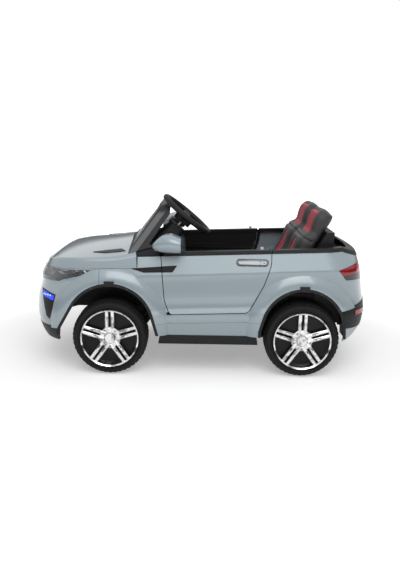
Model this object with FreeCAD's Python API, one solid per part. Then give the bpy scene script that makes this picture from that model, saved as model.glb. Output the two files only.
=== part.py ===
import FreeCAD, Part
import math
import os
from FreeCAD import Rotation, Vector

# Electric ride-on car for a small child. Millimetres. The car faces -X, its left side is -Y,
# and it stands on Z = 0 with the origin under the middle of its length and width.

# Overall sizes
FRONT_OVERHANG = 262.0
WHEELBASE = 589.0
REAR_OVERHANG = 219.0
BODY_WIDTH = 544.0
BELT_HEIGHT = 373.0
BELT_RISE_SHARE = 0.04

# Walls, seams and fits
WALL = 4.0
PANEL_GAP = 0.8
SEAT_GAP = 0.3
RUNNING_GAP = 0.06
OVERRUN = 60.0

# Body surface in plan, and its levels from the foot up. Shares in each level: height of the belt
# height, rise of the length, set-back of the front and rear overhangs, tuck of the half width.
FRONT_BOW = 620.0
REAR_BOW = 900.0
FRONT_CORNER = 140.0
REAR_CORNER = 110.0
LEVEL_SHARES = (
    (0.260, 0.000, 0.107, 0.228, 0.029),
    (0.349, 0.015, 0.053, 0.064, 0.011),
    (0.442, 0.030, 0.019, 0.009, 0.000),
    (0.525, 0.030, 0.000, 0.000, 0.004),
    (0.595, 0.030, 0.000, 0.014, 0.018),
    (0.702, 0.040, 0.023, 0.041, 0.018),
    (0.852, 0.051, 0.065, 0.087, 0.000),
    (1.000, 0.040, 0.190, 0.190, 0.048),
    (1.126, 0.040, 0.320, 0.365, 0.088),
)
CREASE_LEVELS = (2, 6)

# Hood: stations with shares of the hood length, of the hood height and of the half width (crown drop)
HOOD_LENGTH = 345.0
HOOD_CROWN = 22.0
HOOD_EDGE_RADIUS = 15.0
HOOD_SEAM_DROP = 34.0
HOOD_SEAM_RISE_SHARE = 0.032
HOOD_STATION_SHARES = (
    (-0.072, 0.663, 0.029),
    (0.000, 0.729, 0.029),
    (0.104, 0.815, 0.037),
    (0.203, 0.881, 0.051),
    (0.304, 0.916, 0.073),
    (0.481, 0.948, 0.102),
    (0.664, 0.970, 0.138),
    (0.875, 1.000, 0.167),
    (1.290, 1.042, 0.180),
)
HOOD_EDGE_SHARE = 0.29
COWL_BOW = 32.0

# Body sides and rear
FENDER_SEAM_SET = 30.0
COWL_SEAM_X = -190.0
SILL_Z = 127.0
BELT_END_X = 430.0
TAIL_FALL_SHARE = 0.34
REAR_SEAM_Y = 200.0
REAR_SEAM_X = 400.0

# Wheel arches, flares and liners
ARCH_RISE = 35.0
FRONT_ARCH_LEG_DEGS = (29.0, 16.0)
REAR_ARCH_LEG_DEGS = (16.0, 3.0)
ARCH_HEEL_Z = 145.0
FRONT_ARCH_GAP = 21.0
REAR_ARCH_GAP = 14.0
FLARE_WIDTH = 43.0
FLARE_PROUD = 15.0
FLARE_CURVE_SHARES = ((0.10, 1.0), (0.52, 0.72))
LINER_LIP = 9.0
LINER_WALL = 3.5
FRONT_LINER_DEPTH = 42.0
REAR_LINER_DEPTH = 84.0
LINER_TYRE_GAP = 8.0
LINER_WINDOW_HALF = 42.0
LINER_LIP_DEPTH = 6.0
LINER_TAB = 30.0
LINER_TAB_HEIGHT = 7.0

# Front lip, grille and lower intake
LIP_BOTTOM_Z = 98.0
LIP_TOP_Z = 140.0
LIP_SIDE_RISE = 7.0
LIP_NOSE = 20.0
LIP_THICK = 12.0
GRILLE_HALF = 112.0
GRILLE_Z = (270.0, 313.0)
INTAKE_HALF = 142.0
INTAKE_Z = (152.0, 198.0)
GRILLE_LAP = 6.0
GRILLE_COLUMNS = 8
GRILLE_ROWS = 3
GRILLE_BAR = 5.0

# Lamps: outlines in shares of the overhang behind the bumper tip and of the belt height
HEADLAMP_SHARES = ((0.145, 0.759), (0.408, 0.769), (0.466, 0.788), (0.653, 0.820), (0.786, 0.869))
HEADLAMP_INNER_Y = 118.0
LENS = 3.0
LAMP_DEPTH = 30.0
PROJECTOR_RADIUS = 13.0
PROJECTOR_PLACE_SHARES = ((0.16, 0.815, 0.55), (0.28, 0.820, 0.74))
FOG_SHARES = ((0.168, 0.681), (0.355, 0.649), (0.316, 0.536), (0.278, 0.440), (0.233, 0.461), (0.180, 0.620))
FOG_LED_SHARES = ((0.186, 0.668), (0.338, 0.641), (0.328, 0.600), (0.192, 0.622))
FOG_INNER_Y = 150.0
FOG_DEPTH = 14.0
FOG_PROUD = 1.2
TAIL_LAMP_SHARES = (
    (0.530, 0.900), (0.297, 0.938), (0.205, 0.949), (-0.110, 0.957),
    (-0.110, 0.812), (0.187, 0.812), (0.418, 0.818),
)
TAIL_LAMP_INNER_Y = 132.0

# Vents
HOOD_VENT_SHARES = ((0.594, 0.20), (0.700, 0.09), (0.885, 0.06), (0.840, 0.26), (0.720, 0.27))
HOOD_VENT_Y_SHARE = 0.83
VENT_PROUD = 2.0
VENT_DEPTH = 2.4
FENDER_VENT_SHARES = ((0.0, 0.50), (1.0, 1.0), (0.90, 0.10), (0.28, 0.0))
FENDER_VENT_X = (-210.0, -69.0)
FENDER_VENT_Z = (320.0, 343.0)

# Rear bumper and diffuser
BUMPER_TOP_Z = 104.0
BUMPER_RISE_SHARE = 0.25
BUMPER_PROUD = 2.0
BUMPER_THICK = 7.0
DIFFUSER_Z = (103.0, 153.0)
REFLECTOR_SHARES = ((0.256, 0.562), (0.06, 0.566), (0.06, 0.527), (0.250, 0.523))

# Doors
DOOR_FRONT_X = -122.0
DOOR_LENGTH = 337.0
DOOR_FOOT_Z = 191.0
DOOR_GAP = 2.4
DOOR_SHARES = (
    (0.0, 1.17, 0.0), (0.042, 0.242, 0.33), (0.089, 0.0, 0.09), (0.801, 0.044, 0.12),
    (0.932, 0.489, 0.66), (1.0, 0.874, 0.44), (1.0, 1.17, 0.0),
)
DOOR_LIP = 1.3
DOOR_RABBET = 5.0
HEEL_RELIEF = (8.5, 7.5)
LINER_THICK = 15.0
LINER_FRONT_SET = 62.0
LINER_EDGE = 7.0
POCKET_DEPTH = 9.0
POCKET_X = (10.0, 130.0)
POCKET_Z = (228.0, 300.0)
ARMREST_Z = (318.0, 334.0)
ARMREST_PROUD = 9.0
TRIM_HEIGHT = 11.0
TRIM_PROUD = 1.5
TRIM_WIDTH = 22.0
TRIM_FRONT_SET = 12.0
HANDLE_X = (110.0, 205.0)
HANDLE_Z = (345.0, 364.0)
HANDLE_RECESS = 2.4
HANDLE_BORDER = 4.5
HANDLE_PROUD = 2.5

# Door hinges, parallel to the front seam and inside the skin
HINGE_SET_BACK = 21.0
HINGE_INSET = 20.0
HINGE_PIN = 3.0
HINGE_EYE = 7.0
HINGE_EYE_HEIGHT = 12.0
HINGE_HEIGHTS = (232.0, 322.0)
HINGE_ARM = 8.0

# Door bolts
BOLT_X = (172.0, 208.0)
BOLT_WIDTH = 9.0
BOLT_HEIGHT = 5.0
BOLT_TRAVEL = 14.0
BOLT_KNOB = 9.0
BOLT_INSET = 13.0
BOLT_MARGIN = 0.5

# Sill skirts
SKIRT_THICK = 15.0
SKIRT_PROUD = 2.0
SKIRT_END_GAP = 3.0

# Windscreen, its frame and the sail panels beside it
SCREEN_BASE_Z = 345.0
SCREEN_TOP_Z = 512.0
SCREEN_BASE_X = -224.0
SCREEN_TOP_X = -108.0
SCREEN_BASE_BOW = 36.0
SCREEN_TOP_BOW = 16.0
SCREEN_BASE_HALF = 264.0
SCREEN_TOP_HALF = 158.0
SCREEN_CORNER = 48.0
FRAME_THICK = 9.0
FRAME_BORDER = 12.0
FRAME_FOOT = 8.0
SCREEN_RIM_DEPTH = 36.0
SCREEN_RIM_REACH = (75.0, 12.0)
SCREEN_RIM_BEND_Z = 453.0
SCREEN_HAND_ROOM = 6.0
SCREEN_RIM_WALL = 6.0
GLASS_THICK = 4.0
SAIL_X = (-216.0, -129.0)
SAIL_TOP_X = (-184.0, -150.0)
SAIL_HEIGHT = 42.0
SAIL_THICK = 7.0

# Mirrors: shares of the length, and half width and height shares of each section
MIRROR_X = (-142.0, -58.0)
MIRROR_Y = 292.0
MIRROR_Z = (388.0, 441.0)
MIRROR_HALF = 41.0
MIRROR_SHARES = (
    (0.0, 0.16, 0.22, 0.42),
    (0.16, 0.58, 0.08, 0.70),
    (0.50, 0.92, 0.00, 1.00),
    (0.80, 1.00, 0.00, 0.93),
    (1.0, 0.96, 0.02, 0.80),
)
MIRROR_CORNER_SHARE = 0.46
MIRROR_BORDER = 5.0
MIRROR_GLASS = 2.5
MIRROR_FOOT_X = (-136.0, -108.0)
MIRROR_FOOT_Z = (391.0, 404.0)

# Cockpit rim and rear deck
RIM_FRONT_GAP = 3.0
DECK_X = 424.0
DECK_Z = 358.5

# Tyres and wheels
TYRE_RADIUS = 116.0
TYRE_WIDTH = 92.0
TYRE_SHOULDER = 15.0
TYRE_BEAD = 89.0
WHEEL_FACE_Y = 283.0
CORE_WALL = 5.0
CORE_DISH = 24.0
CORE_HUB = 24.0
AXLE_RADIUS = 6.0
RING_RADIUS = 91.5
RING_WIDTH = 7.0
RING_DEPTH = 12.0
RING_PROUD = 3.0
SPOKE_PAIRS = 5
SPOKE_WIDTH = 11.0
SPOKE_TIP_SHARE = 0.82
SPOKE_SPACING = 8.6
SPOKE_THICK = 8.0
SPOKE_SINK = 7.0
HUB_RADIUS = 33.0
HUB_THICK = 9.0
LUG_RADIUS = 4.5
LUG_CIRCLE = 25.0
CAP_RADIUS = 18.0
CAP_HEIGHT = 7.0
AXLE_END_GAP = 3.0
HUB_END_GAP = 3.0

# Steering
COLUMN_TILT_DEG = 39.0
STEERING_WHEEL_CENTRE = (-44.0, -105.0, 480.0)
RIM_RADIUS = 86.0
RIM_TUBE = 9.0
STEERING_DISH = 16.0
STEERING_HUB = (70.0, 56.0, 26.0)
STEERING_HUB_CORNER = 16.0
SPOKE_BAR = (24.0, 9.0)
HORN_RADIUS = 17.0
HORN_TRAVEL = 2.5
HORN_PROUD = 4.0
HORN_SINK = 8.0
BUTTON_GAP = 0.4
COLUMN_RADIUS = 6.0
COLUMN_LENGTH = 330.0
CRANK_LENGTH = 38.4
CRANK_PIN = 42.0
KING_PIN_Y = 170.0
KING_PIN_RADIUS = 7.0
KNUCKLE_BLOCK = 13.0
KNUCKLE_HALF_HEIGHT = 21.0
EYE_HEIGHT = 12.0
EYE_RADIUS = 15.0
EYE_GAP = 0.5
STEER_ARM = 74.0
STEER_ARM_WIDTH = 16.0
STEER_ARM_THICK = 6.0
STEER_ARM_GAP = 4.0
TIE_PIN_RADIUS = 4.0
TIE_ROD_WIDTH = 22.0
TIE_ROD_THICK = 6.0
TIE_SLOT_GAP = 1.0
TIE_SLOT_LENGTH = 9.0
TIE_TAB = 20.0
TIE_TAB_THICK = 6.0
TIE_TAB_LENGTH = 44.0
AXLE_BEAM_HALF = 14.0
AXLE_BEAM_PLATE = 48.0
RAIL_Y = (42.0, 68.0)
RAIL_Z = (186.0, 214.0)
RAIL_FRONT_X = -446.0
CROSS_MEMBER = 16.0
NOSE_WALL_Y = 143.0
NOSE_WALL_TOP_Z = 300.0
COLUMN_BUSH = 15.0
COLUMN_BUSH_LENGTH = 24.0
COLUMN_BUSH_DROP = 42.0

# Chassis tub
FLOOR_Z = 98.0
FLOOR_THICK = 5.0
TUB_WALL = 5.0
TUB_HALF = 246.0
TOE_X = -118.0
TOE_HALF = 226.0
TOE_TOP_Z = 333.0
SEAT_BOX_X = (72.0, 168.0)
SEAT_BOX_REAR_X = 470.0
SEAT_BOX_Z = 238.0
SEAT_BOX_HALF = 178.0
SEAT_BOX_FOOT_Z = 150.0
FLOOR_REAR_X = 258.0
TUB_SIDE_Z = 184.0
TUB_FLANGE_Z = 150.0
FLOOR_RIBS = 7
FLOOR_RIB = 3.0
HANGER_Y = (118.0, 134.0)
HANGER_HALF = 26.0
HANGER_FOOT = 20.0

# Rear drive
GEARBOX_Y = 172.5
GEARBOX_RADIUS = 46.0
MOTOR_SET = (-66.0, 30.0)
MOTOR_RADIUS = 19.0
MOTOR_CASE_RADIUS = 28.0
MOTOR_LENGTH = 62.0
BATTERY = (150.0, 98.0, 94.0)
BATTERY_X = 84.0
BATTERY_TERMINAL = (8.0, 6.0)

# Dashboard and its switches
DASH_SHARES = ((0.0, 0.55), (0.10, 1.30), (0.86, 1.30), (0.86, 0.98), (1.0, 0.12), (0.93, 0.0), (0.30, 0.0))
DASH_X = (-225.0, -86.0)
DASH_Z = (334.0, 410.0)
DASH_CORNER = 6.0
DASH_SIDE_GAP = 10.0
DASH_TOP_DROP = 3.0
DASH_DOOR_GAP = 44.0
COWL_TOP = (58.0, 50.0)
COWL_FOOT = (104.0, 92.0)
COWL_REACH = (30.0, 128.0)
COWL_CORNER_SHARE = 0.3
POWER_BUTTON_RADIUS = 10.0
POWER_BUTTON_Y = 20.0
BUTTON_TRAVEL = 2.5
BUTTON_PROUD = 4.0
BUTTON_SINK = 9.0
SWITCH_SIZE = (16.0, 24.0)
SWITCH_Y = 66.0
SWITCH_PIN = 2.0

# Foot pedal
PEDAL_HINGE = (-34.0, -62.0, 111.0)
PEDAL_WIDTH = 62.0
PEDAL_LENGTH = 78.0
PEDAL_THICK = 8.0
PEDAL_LEAN_DEG = 32.0
PEDAL_RIBS = 5
PEDAL_RIB = 2.0
PEDAL_PIN = 4.0
PEDAL_EYE = 7.0
PEDAL_BRACKET = 7.0
PEDAL_BRACKET_FOOT = 13.0

# Seat: shell, cushion and backs. Back stations: shares of the length, half width, front and rear
SEAT_Y = 103.0
SEAT_BASE_X = 80.0
SEAT_SHELL_TOP = 8.0
CUSHION_HALF = 200.0
CUSHION_HEIGHT = 34.0
CUSHION_STATION_SHARES = (
    (0.0, 0.70), (0.04, 0.79), (0.10, 0.89), (0.25, 0.97), (0.50, 1.0), (0.75, 0.97), (0.90, 0.87),
    (0.97, 0.68), (1.0, 0.45),
)
BACK_FOOT = (234.0, 278.5)
BACK_TOP = (374.0, 520.0)
BACK_HALF = 97.0
BACK_DEPTH = 54.0
BACK_STATION_SHARES = (
    (0.0, 0.84, 0.40), (0.06, 0.94, 0.82), (0.34, 1.0, 0.96), (0.56, 1.0, 1.12), (0.68, 0.93, 0.84),
)
HEAD_STATION_SHARES = (
    (0.62, 0.84, 0.62), (0.72, 0.88, 0.80), (0.82, 0.89, 0.96), (0.94, 0.84, 1.0), (1.0, 0.62, 0.86),
)
BACK_CORNER_SHARE = 0.42
SHELL_REAR_X = (404.0, 414.0)
SHELL_TOP_Z = 440.0
SHELL_WALL = 5.0
SHELL_HALF = 90.0

# Worked out from the sizes above
LENGTH = FRONT_OVERHANG + WHEELBASE + REAR_OVERHANG
FRONT_X = -LENGTH / 2
REAR_X = LENGTH / 2
FRONT_AXLE_X = FRONT_X + FRONT_OVERHANG
REAR_AXLE_X = FRONT_AXLE_X + WHEELBASE
HALF_WIDTH = BODY_WIDTH / 2
AXLE_Z = TYRE_RADIUS
ARCH_Z = AXLE_Z + ARCH_RISE
FRONT_ARCH = TYRE_RADIUS + FRONT_ARCH_GAP
REAR_ARCH = TYRE_RADIUS + REAR_ARCH_GAP
HOOD_HEIGHT = BELT_HEIGHT + HOOD_CROWN
FENDER_SEAM_X = FRONT_AXLE_X - FENDER_SEAM_SET
DOOR_HEIGHT = BELT_HEIGHT - DOOR_FOOT_Z
DOOR_REAR_X = DOOR_FRONT_X + DOOR_LENGTH
WHEEL_INNER_Y = WHEEL_FACE_Y - TYRE_WIDTH
AXLE_END_Y = WHEEL_FACE_Y - HUB_THICK - AXLE_END_GAP
COLUMN_AXIS = Vector(math.sin(math.radians(COLUMN_TILT_DEG)), 0, math.cos(math.radians(COLUMN_TILT_DEG)))
STEERING_CENTRE = Vector(*STEERING_WHEEL_CENTRE)
SCREEN_LEAN_SHARE = (SCREEN_BASE_HALF - SCREEN_TOP_HALF) / (SCREEN_TOP_Z - SCREEN_BASE_Z)
SAIL_LEAN_DEG = math.degrees(math.atan(SCREEN_LEAN_SHARE))
WIDE = BODY_WIDTH / 2 + OVERRUN
TALL = BELT_HEIGHT + 2 * OVERRUN


# Drawing planes, solids and small tools
def side(u, v):
    """A point of the side view."""
    return Vector(u, 0, v)


def front(u, v):
    """A point of the front view."""
    return Vector(0, u, v)


def plan(u, v):
    """A point of the plan view."""
    return Vector(u, v, 0)


def rounded_face(points, radii, plane):
    """A flat face with straight sides and corners rounded to the radii given."""
    count = len(points)
    corners = []
    for index in range(count):
        here = plane(*points[index])
        back = (plane(*points[index - 1]) - here).normalize()
        ahead = (plane(*points[(index + 1) % count]) - here).normalize()
        half_angle = back.getAngle(ahead) / 2
        reach = radii[index] / math.tan(half_angle)
        rise = radii[index] / math.sin(half_angle) - radii[index]
        bisector = (back + ahead).normalize()
        corners.append((here + back * reach, here + bisector * rise, here + ahead * reach))
    edges = []
    for index in range(count):
        start, middle, end = corners[index]
        if radii[index] > 0:
            edges.append(Part.Arc(start, middle, end).toShape())
        edges.append(Part.makeLine(end, corners[(index + 1) % count][0]))
    return Part.Face(Part.Wire(edges))


def flat_face(points, plane):
    """A flat face with sharp corners."""
    return rounded_face(points, [0] * len(points), plane)


def side_prism(face, left_y, right_y):
    """A face of the side view, pulled across the car."""
    face = face.copy()
    face.translate(Vector(0, left_y, 0))
    return face.extrude(Vector(0, right_y - left_y, 0))


def front_prism(face, front_x, rear_x):
    """A face of the front view, pulled along the car."""
    face = face.copy()
    face.translate(Vector(front_x, 0, 0))
    return face.extrude(Vector(rear_x - front_x, 0, 0))


def plan_prism(face, low_z, high_z):
    """A face of the plan view, pulled up."""
    face = face.copy()
    face.translate(Vector(0, 0, low_z))
    return face.extrude(Vector(0, 0, high_z - low_z))


def block(x_range, y_range, z_range):
    """A box between three pairs of limits."""
    corner = Vector(x_range[0], y_range[0], z_range[0])
    return Part.makeBox(x_range[1] - x_range[0], y_range[1] - y_range[0], z_range[1] - z_range[0], corner)


def rod(start, end, radius):
    """A round bar between two points."""
    return Part.makeCylinder(radius, (end - start).Length, start, end - start)


def offset_face(face, distance):
    """A flat face grown, or shrunk by a negative distance."""
    return face.makeOffset2D(distance, 2)


def mirrored(shape):
    """The same shape on the other side of the car."""
    return shape.mirror(Vector(0, 0, 0), Vector(0, 1, 0))


def save(name, *solids):
    """Write the closed solids of one node."""
    bodies = [body for shape in solids for body in shape.Solids]
    shape = bodies[0] if len(bodies) == 1 else Part.makeCompound(bodies)
    if not bodies or not shape.isValid():
        raise ValueError(name + " is not a set of valid solids")
    shape.exportStep("parts/" + name + ".step")
    print(name, len(bodies), round(shape.Volume))


# Body surface
def plan_wire(front_x, rear_x, half, inset):
    """One closed level of the body: bowed front and rear, round corners, straight sides."""
    bow_f, bow_r = FRONT_BOW - inset, REAR_BOW - inset
    corner_f, corner_r = FRONT_CORNER - inset, REAR_CORNER - inset
    tip_f, tip_r, edge = front_x + inset, rear_x - inset, half - inset
    centre_f, centre_r = Vector(tip_f + bow_f, 0, 0), Vector(tip_r - bow_r, 0, 0)
    reach_f = math.sqrt((bow_f - corner_f) ** 2 - (edge - corner_f) ** 2)
    reach_r = math.sqrt((bow_r - corner_r) ** 2 - (edge - corner_r) ** 2)
    edges = []
    for hand in (-1, 1):
        turn_f = Vector(centre_f.x - reach_f, hand * (edge - corner_f), 0)
        turn_r = Vector(centre_r.x + reach_r, hand * (edge - corner_r), 0)
        out = Vector(0, hand, 0)
        aim_f, aim_r = (turn_f - centre_f).normalize(), (turn_r - centre_r).normalize()
        meet_f, meet_r = centre_f + aim_f * bow_f, centre_r + aim_r * bow_r
        middle_f = turn_f + (aim_f + out).normalize() * corner_f
        middle_r = turn_r + (aim_r + out).normalize() * corner_r
        flank_f, flank_r = turn_f + out * corner_f, turn_r + out * corner_r
        edges.append((meet_f, middle_f, flank_f, flank_r, middle_r, meet_r))
    left, right = edges
    tip, tail = Vector(tip_f, 0, 0), Vector(tip_r, 0, 0)
    return Part.Wire([
        Part.Arc(left[0], tip, right[0]).toShape(),
        Part.Arc(right[0], right[1], right[2]).toShape(),
        Part.makeLine(right[2], right[3]),
        Part.Arc(right[3], right[4], right[5]).toShape(),
        Part.Arc(right[5], tail, left[5]).toShape(),
        Part.Arc(left[5], left[4], left[3]).toShape(),
        Part.makeLine(left[3], left[2]),
        Part.Arc(left[2], left[1], left[0]).toShape(),
    ])


def level_wire(shares, inset):
    """A level wire at its height, tilted by its rise."""
    height, rise, set_front, set_rear, tuck = shares
    front_x = FRONT_X + set_front * FRONT_OVERHANG
    rear_x = REAR_X - set_rear * REAR_OVERHANG
    wire = plan_wire(front_x, rear_x, HALF_WIDTH * (1 - tuck), inset)
    wire.rotate(Vector(0, 0, 0), Vector(0, 1, 0), -math.degrees(math.atan(rise)))
    wire.translate(Vector(0, 0, height * BELT_HEIGHT))
    return wire


SURFACES = {}


def surface(inset):
    """The solid inside the body surface moved in by an inset."""
    if inset not in SURFACES:
        low, high = CREASE_LEVELS
        bands = (LEVEL_SHARES[:low + 1], LEVEL_SHARES[low:high + 1], LEVEL_SHARES[high:])
        lofts = [Part.makeLoft([level_wire(level, inset) for level in band], True, False) for band in bands]
        SURFACES[inset] = lofts[0].fuse(lofts[1:]).removeSplitter()
    return SURFACES[inset]


def layer(region, start, depth):
    """A skin of the body inside a region, from a start under the surface to a depth below that."""
    return surface(start).common(region).cut(surface(start + depth))


def overhang_points(shares, tip_x, direction, overhang):
    """Side view points from shares of an overhang and of the belt height."""
    return [(tip_x + direction * along * overhang, up * BELT_HEIGHT) for along, up in shares]


def belt_z(x):
    """The height of the belt line, which falls behind the seats."""
    fall = max(0, x - BELT_END_X) * (TAIL_FALL_SHARE + BELT_RISE_SHARE)
    return BELT_HEIGHT + BELT_RISE_SHARE * x - fall


def belt_points(front_x, rise):
    """The belt line in side view from a front place to past the tail."""
    places = [front_x, BELT_END_X, REAR_X + OVERRUN]
    return [(x, belt_z(x) + rise) for x in places if x >= front_x]


def hood_seam_z(x):
    """The height of the seam under the hood's sides."""
    return BELT_HEIGHT - HOOD_SEAM_DROP + HOOD_SEAM_RISE_SHARE * x


# Hood and the surface that it shares with the dashboard
def hood_form(drop):
    """The solid under the crowned hood surface lowered by a drop."""
    wires = []
    for along, up, crown in HOOD_STATION_SHARES:
        x = FRONT_X + along * HOOD_LENGTH
        top = up * HOOD_HEIGHT - drop
        edge = top - crown * HALF_WIDTH
        foot = SILL_Z
        left, right = Vector(x, -WIDE, 0), Vector(x, WIDE, 0)
        shoulder = Part.Arc(left + side(0, edge), Vector(x, 0, top), right + side(0, edge)).toShape()
        corners = [right + side(0, edge), right + side(0, foot), left + side(0, foot), left + side(0, edge)]
        lines = [Part.makeLine(corners[step], corners[step + 1]) for step in range(3)]
        wires.append(Part.Wire([shoulder] + lines))
    return Part.makeLoft(wires, True, False)


def rounded_hood(inset):
    """The nose of the body under the hood surface with its long edges rounded."""
    nose = surface(inset).common(hood_form(inset))
    least = HOOD_EDGE_SHARE * HOOD_LENGTH
    seam = hood_seam_z(FRONT_X)
    edges = [edge for edge in nose.Edges if edge.BoundBox.ZMin > seam and edge.BoundBox.XLength > least]
    return nose.makeFillet(HOOD_EDGE_RADIUS - inset, edges)


def ahead_of_cowl(shift):
    """Everything ahead of the curved cowl line moved along the car."""
    edge_x, far_x = COWL_SEAM_X + shift, FRONT_X - OVERRUN
    bow = plan(edge_x - COWL_BOW, 0)
    arc = Part.Arc(plan(edge_x, -HALF_WIDTH), bow, plan(edge_x, HALF_WIDTH)).toShape()
    corners = [
        plan(edge_x, HALF_WIDTH), plan(edge_x, WIDE), plan(far_x, WIDE), plan(far_x, -WIDE),
        plan(edge_x, -WIDE), plan(edge_x, -HALF_WIDTH),
    ]
    lines = [Part.makeLine(corners[step], corners[step + 1]) for step in range(len(corners) - 1)]
    return plan_prism(Part.Face(Part.Wire([arc] + lines)), 0, TALL)


def seam_points(front_x, rear_x, rise):
    """The hood seam in side view between two places."""
    return [(x, hood_seam_z(x) + rise) for x in (front_x, rear_x)]


def make_hood():
    """Hood: a shell over the nose with seats for the vents."""
    high = seam_points(FRONT_X - OVERRUN, COWL_SEAM_X + OVERRUN, 0)
    above = flat_face(high + [(COWL_SEAM_X + OVERRUN, TALL), (FRONT_X - OVERRUN, TALL)], side)
    hood = rounded_hood(0).cut(rounded_hood(WALL))
    hood = hood.common(side_prism(above, -WIDE, WIDE)).common(ahead_of_cowl(0))
    return hood.cut(hood_vent_form(VENT_DEPTH, PANEL_GAP)).cut(
        mirrored(hood_vent_form(VENT_DEPTH, PANEL_GAP))
    )


def hood_vent_form(depth, grow):
    """The left hood vent's space, from above the hood surface to a depth under it."""
    outline = []
    for along, across in HOOD_VENT_SHARES:
        outline.append((FRONT_X + along * HOOD_LENGTH, -HALF_WIDTH * (HOOD_VENT_Y_SHARE - across / 2)))
    column = plan_prism(offset_face(flat_face(outline, plan), grow + SEAT_GAP), 0, TALL)
    return column.common(hood_form(-VENT_PROUD)).cut(hood_form(depth))


# Wheel arches
def arch_lean(axle_x, leg):
    """The splay of a wheel arch's front (0) or rear (1) leg."""
    legs = FRONT_ARCH_LEG_DEGS if axle_x == FRONT_AXLE_X else REAR_ARCH_LEG_DEGS
    return math.radians(legs[leg])


def arch_half(axle_x, radius, z, leg):
    """How far a wheel arch's leg stands from its axle at a height."""
    lean = arch_lean(axle_x, leg)
    height = max(z, ARCH_HEEL_Z) if leg == 0 else z
    return (radius - (height - ARCH_Z) * math.sin(lean)) / math.cos(lean)


def arch_face(axle_x, radius):
    """The side view of a wheel arch: a round crown on splayed legs, of which the front one ends upright."""
    springs = []
    for leg, hand in ((0, -1), (1, 1)):
        lean = arch_lean(axle_x, leg)
        springs.append(side(axle_x + hand * radius * math.cos(lean), ARCH_Z + radius * math.sin(lean)))
    front_x = axle_x - arch_half(axle_x, radius, 0, 0)
    rear_x = axle_x + arch_half(axle_x, radius, 0, 1)
    feet = [side(rear_x, 0), side(front_x, 0), side(front_x, ARCH_HEEL_Z)]
    crown = Part.Arc(springs[0], side(axle_x, ARCH_Z + radius), springs[1]).toShape()
    path = [springs[1]] + feet + [springs[0]]
    lines = [Part.makeLine(path[step], path[step + 1]) for step in range(len(path) - 1)]
    return Part.Face(Part.Wire([crown] + lines))


def arch_tool(axle_x, radius):
    """A wheel arch opening through the left side."""
    return side_prism(arch_face(axle_x, radius), -WIDE, -WHEEL_INNER_Y + OVERRUN)


def flare(axle_x, radius):
    """The raised lip of the body round a wheel arch, above the sill."""
    inner, outer = axle_x + radius - WALL, axle_x + radius + FLARE_WIDTH
    low_y, high_y = -HALF_WIDTH + 2 * WALL, -HALF_WIDTH - FLARE_PROUD
    crest = [Vector(inner, high_y, ARCH_Z)]
    for along, rise in FLARE_CURVE_SHARES:
        crest.append(Vector(inner + along * (outer - inner), -HALF_WIDTH - rise * FLARE_PROUD, ARCH_Z))
    crest.append(Vector(outer, -HALF_WIDTH + WALL, ARCH_Z))
    curve = Part.BSplineCurve()
    curve.interpolate(crest)
    corners = [crest[-1], Vector(outer, low_y, ARCH_Z), Vector(inner, low_y, ARCH_Z), crest[0]]
    lines = [Part.makeLine(corners[step], corners[step + 1]) for step in range(3)]
    ring = Part.Face(Part.Wire([curve.toShape()] + lines)).revolve(
        Vector(axle_x, 0, ARCH_Z), Vector(0, 1, 0), 360,
    )
    return ring.common(block((FRONT_X, REAR_X), (-WIDE, 0), (SILL_Z, hood_seam_z(axle_x) - PANEL_GAP)))


def make_arch_liner(axle_x, radius, depth):
    """Arch liner: a band inside the arch with an outer lip and a retaining tab on top."""
    outer_y, face_y = -HALF_WIDTH - FLARE_PROUD - SEAT_GAP, -HALF_WIDTH - FLARE_PROUD + LINER_LIP_DEPTH
    band = side_prism(arch_face(axle_x, radius - SEAT_GAP), outer_y, outer_y + depth)
    lip = side_prism(arch_face(axle_x, radius - LINER_LIP), outer_y - OVERRUN, face_y)
    well = side_prism(arch_face(axle_x, radius - LINER_WALL), face_y, outer_y + depth + OVERRUN)
    liner = band.cut([lip, well])
    tab_x = (axle_x - LINER_TAB / 2, axle_x + LINER_TAB / 2)
    crown_z = ARCH_Z + radius
    tab_z = (crown_z - LINER_LIP, crown_z + LINER_TAB_HEIGHT)
    tab = block(tab_x, (outer_y - LINER_WALL, outer_y + SEAT_GAP), tab_z).cut(lip)
    above_sill = block((FRONT_X, REAR_X), (-WIDE, 0), (SILL_Z, TALL))
    return liner.fuse(tab).common(above_sill).removeSplitter()


def make_rear_liner():
    """Rear arch liner: deeper than the front one, with end plates ahead of and behind the tyre's crown."""
    liner = make_arch_liner(REAR_AXLE_X, REAR_ARCH, REAR_LINER_DEPTH)
    inner_y = -HALF_WIDTH - FLARE_PROUD - SEAT_GAP + REAR_LINER_DEPTH
    plate = side_prism(arch_face(REAR_AXLE_X, REAR_ARCH - SEAT_GAP), inner_y - LINER_WALL, inner_y)
    axle = Vector(REAR_AXLE_X, -WIDE, AXLE_Z)
    tyre_space = rod(axle, axle + Vector(0, WIDE, 0), TYRE_RADIUS + LINER_TYRE_GAP)
    over_axle = block((FRONT_X, REAR_X), (-WIDE, 0), (ARCH_Z, TALL))
    window = block((REAR_AXLE_X - LINER_WINDOW_HALF, REAR_AXLE_X + LINER_WINDOW_HALF), (-WIDE, 0), (0, TALL))
    return liner.fuse(plate.cut([tyre_space, window]).common(over_axle)).removeSplitter()


# Doors
def door_face(grow):
    """The side view of the left door, grown by a distance."""
    points, radii = [], []
    for along, up, radius in DOOR_SHARES:
        points.append((DOOR_FRONT_X + along * DOOR_LENGTH, DOOR_FOOT_Z + up * DOOR_HEIGHT))
        radii.append(radius * DOOR_HEIGHT)
    return offset_face(rounded_face(points, radii, side), grow)


def door_region(grow):
    """The space of the left door through the body side."""
    return side_prism(door_face(grow), -WIDE, 0)


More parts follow.
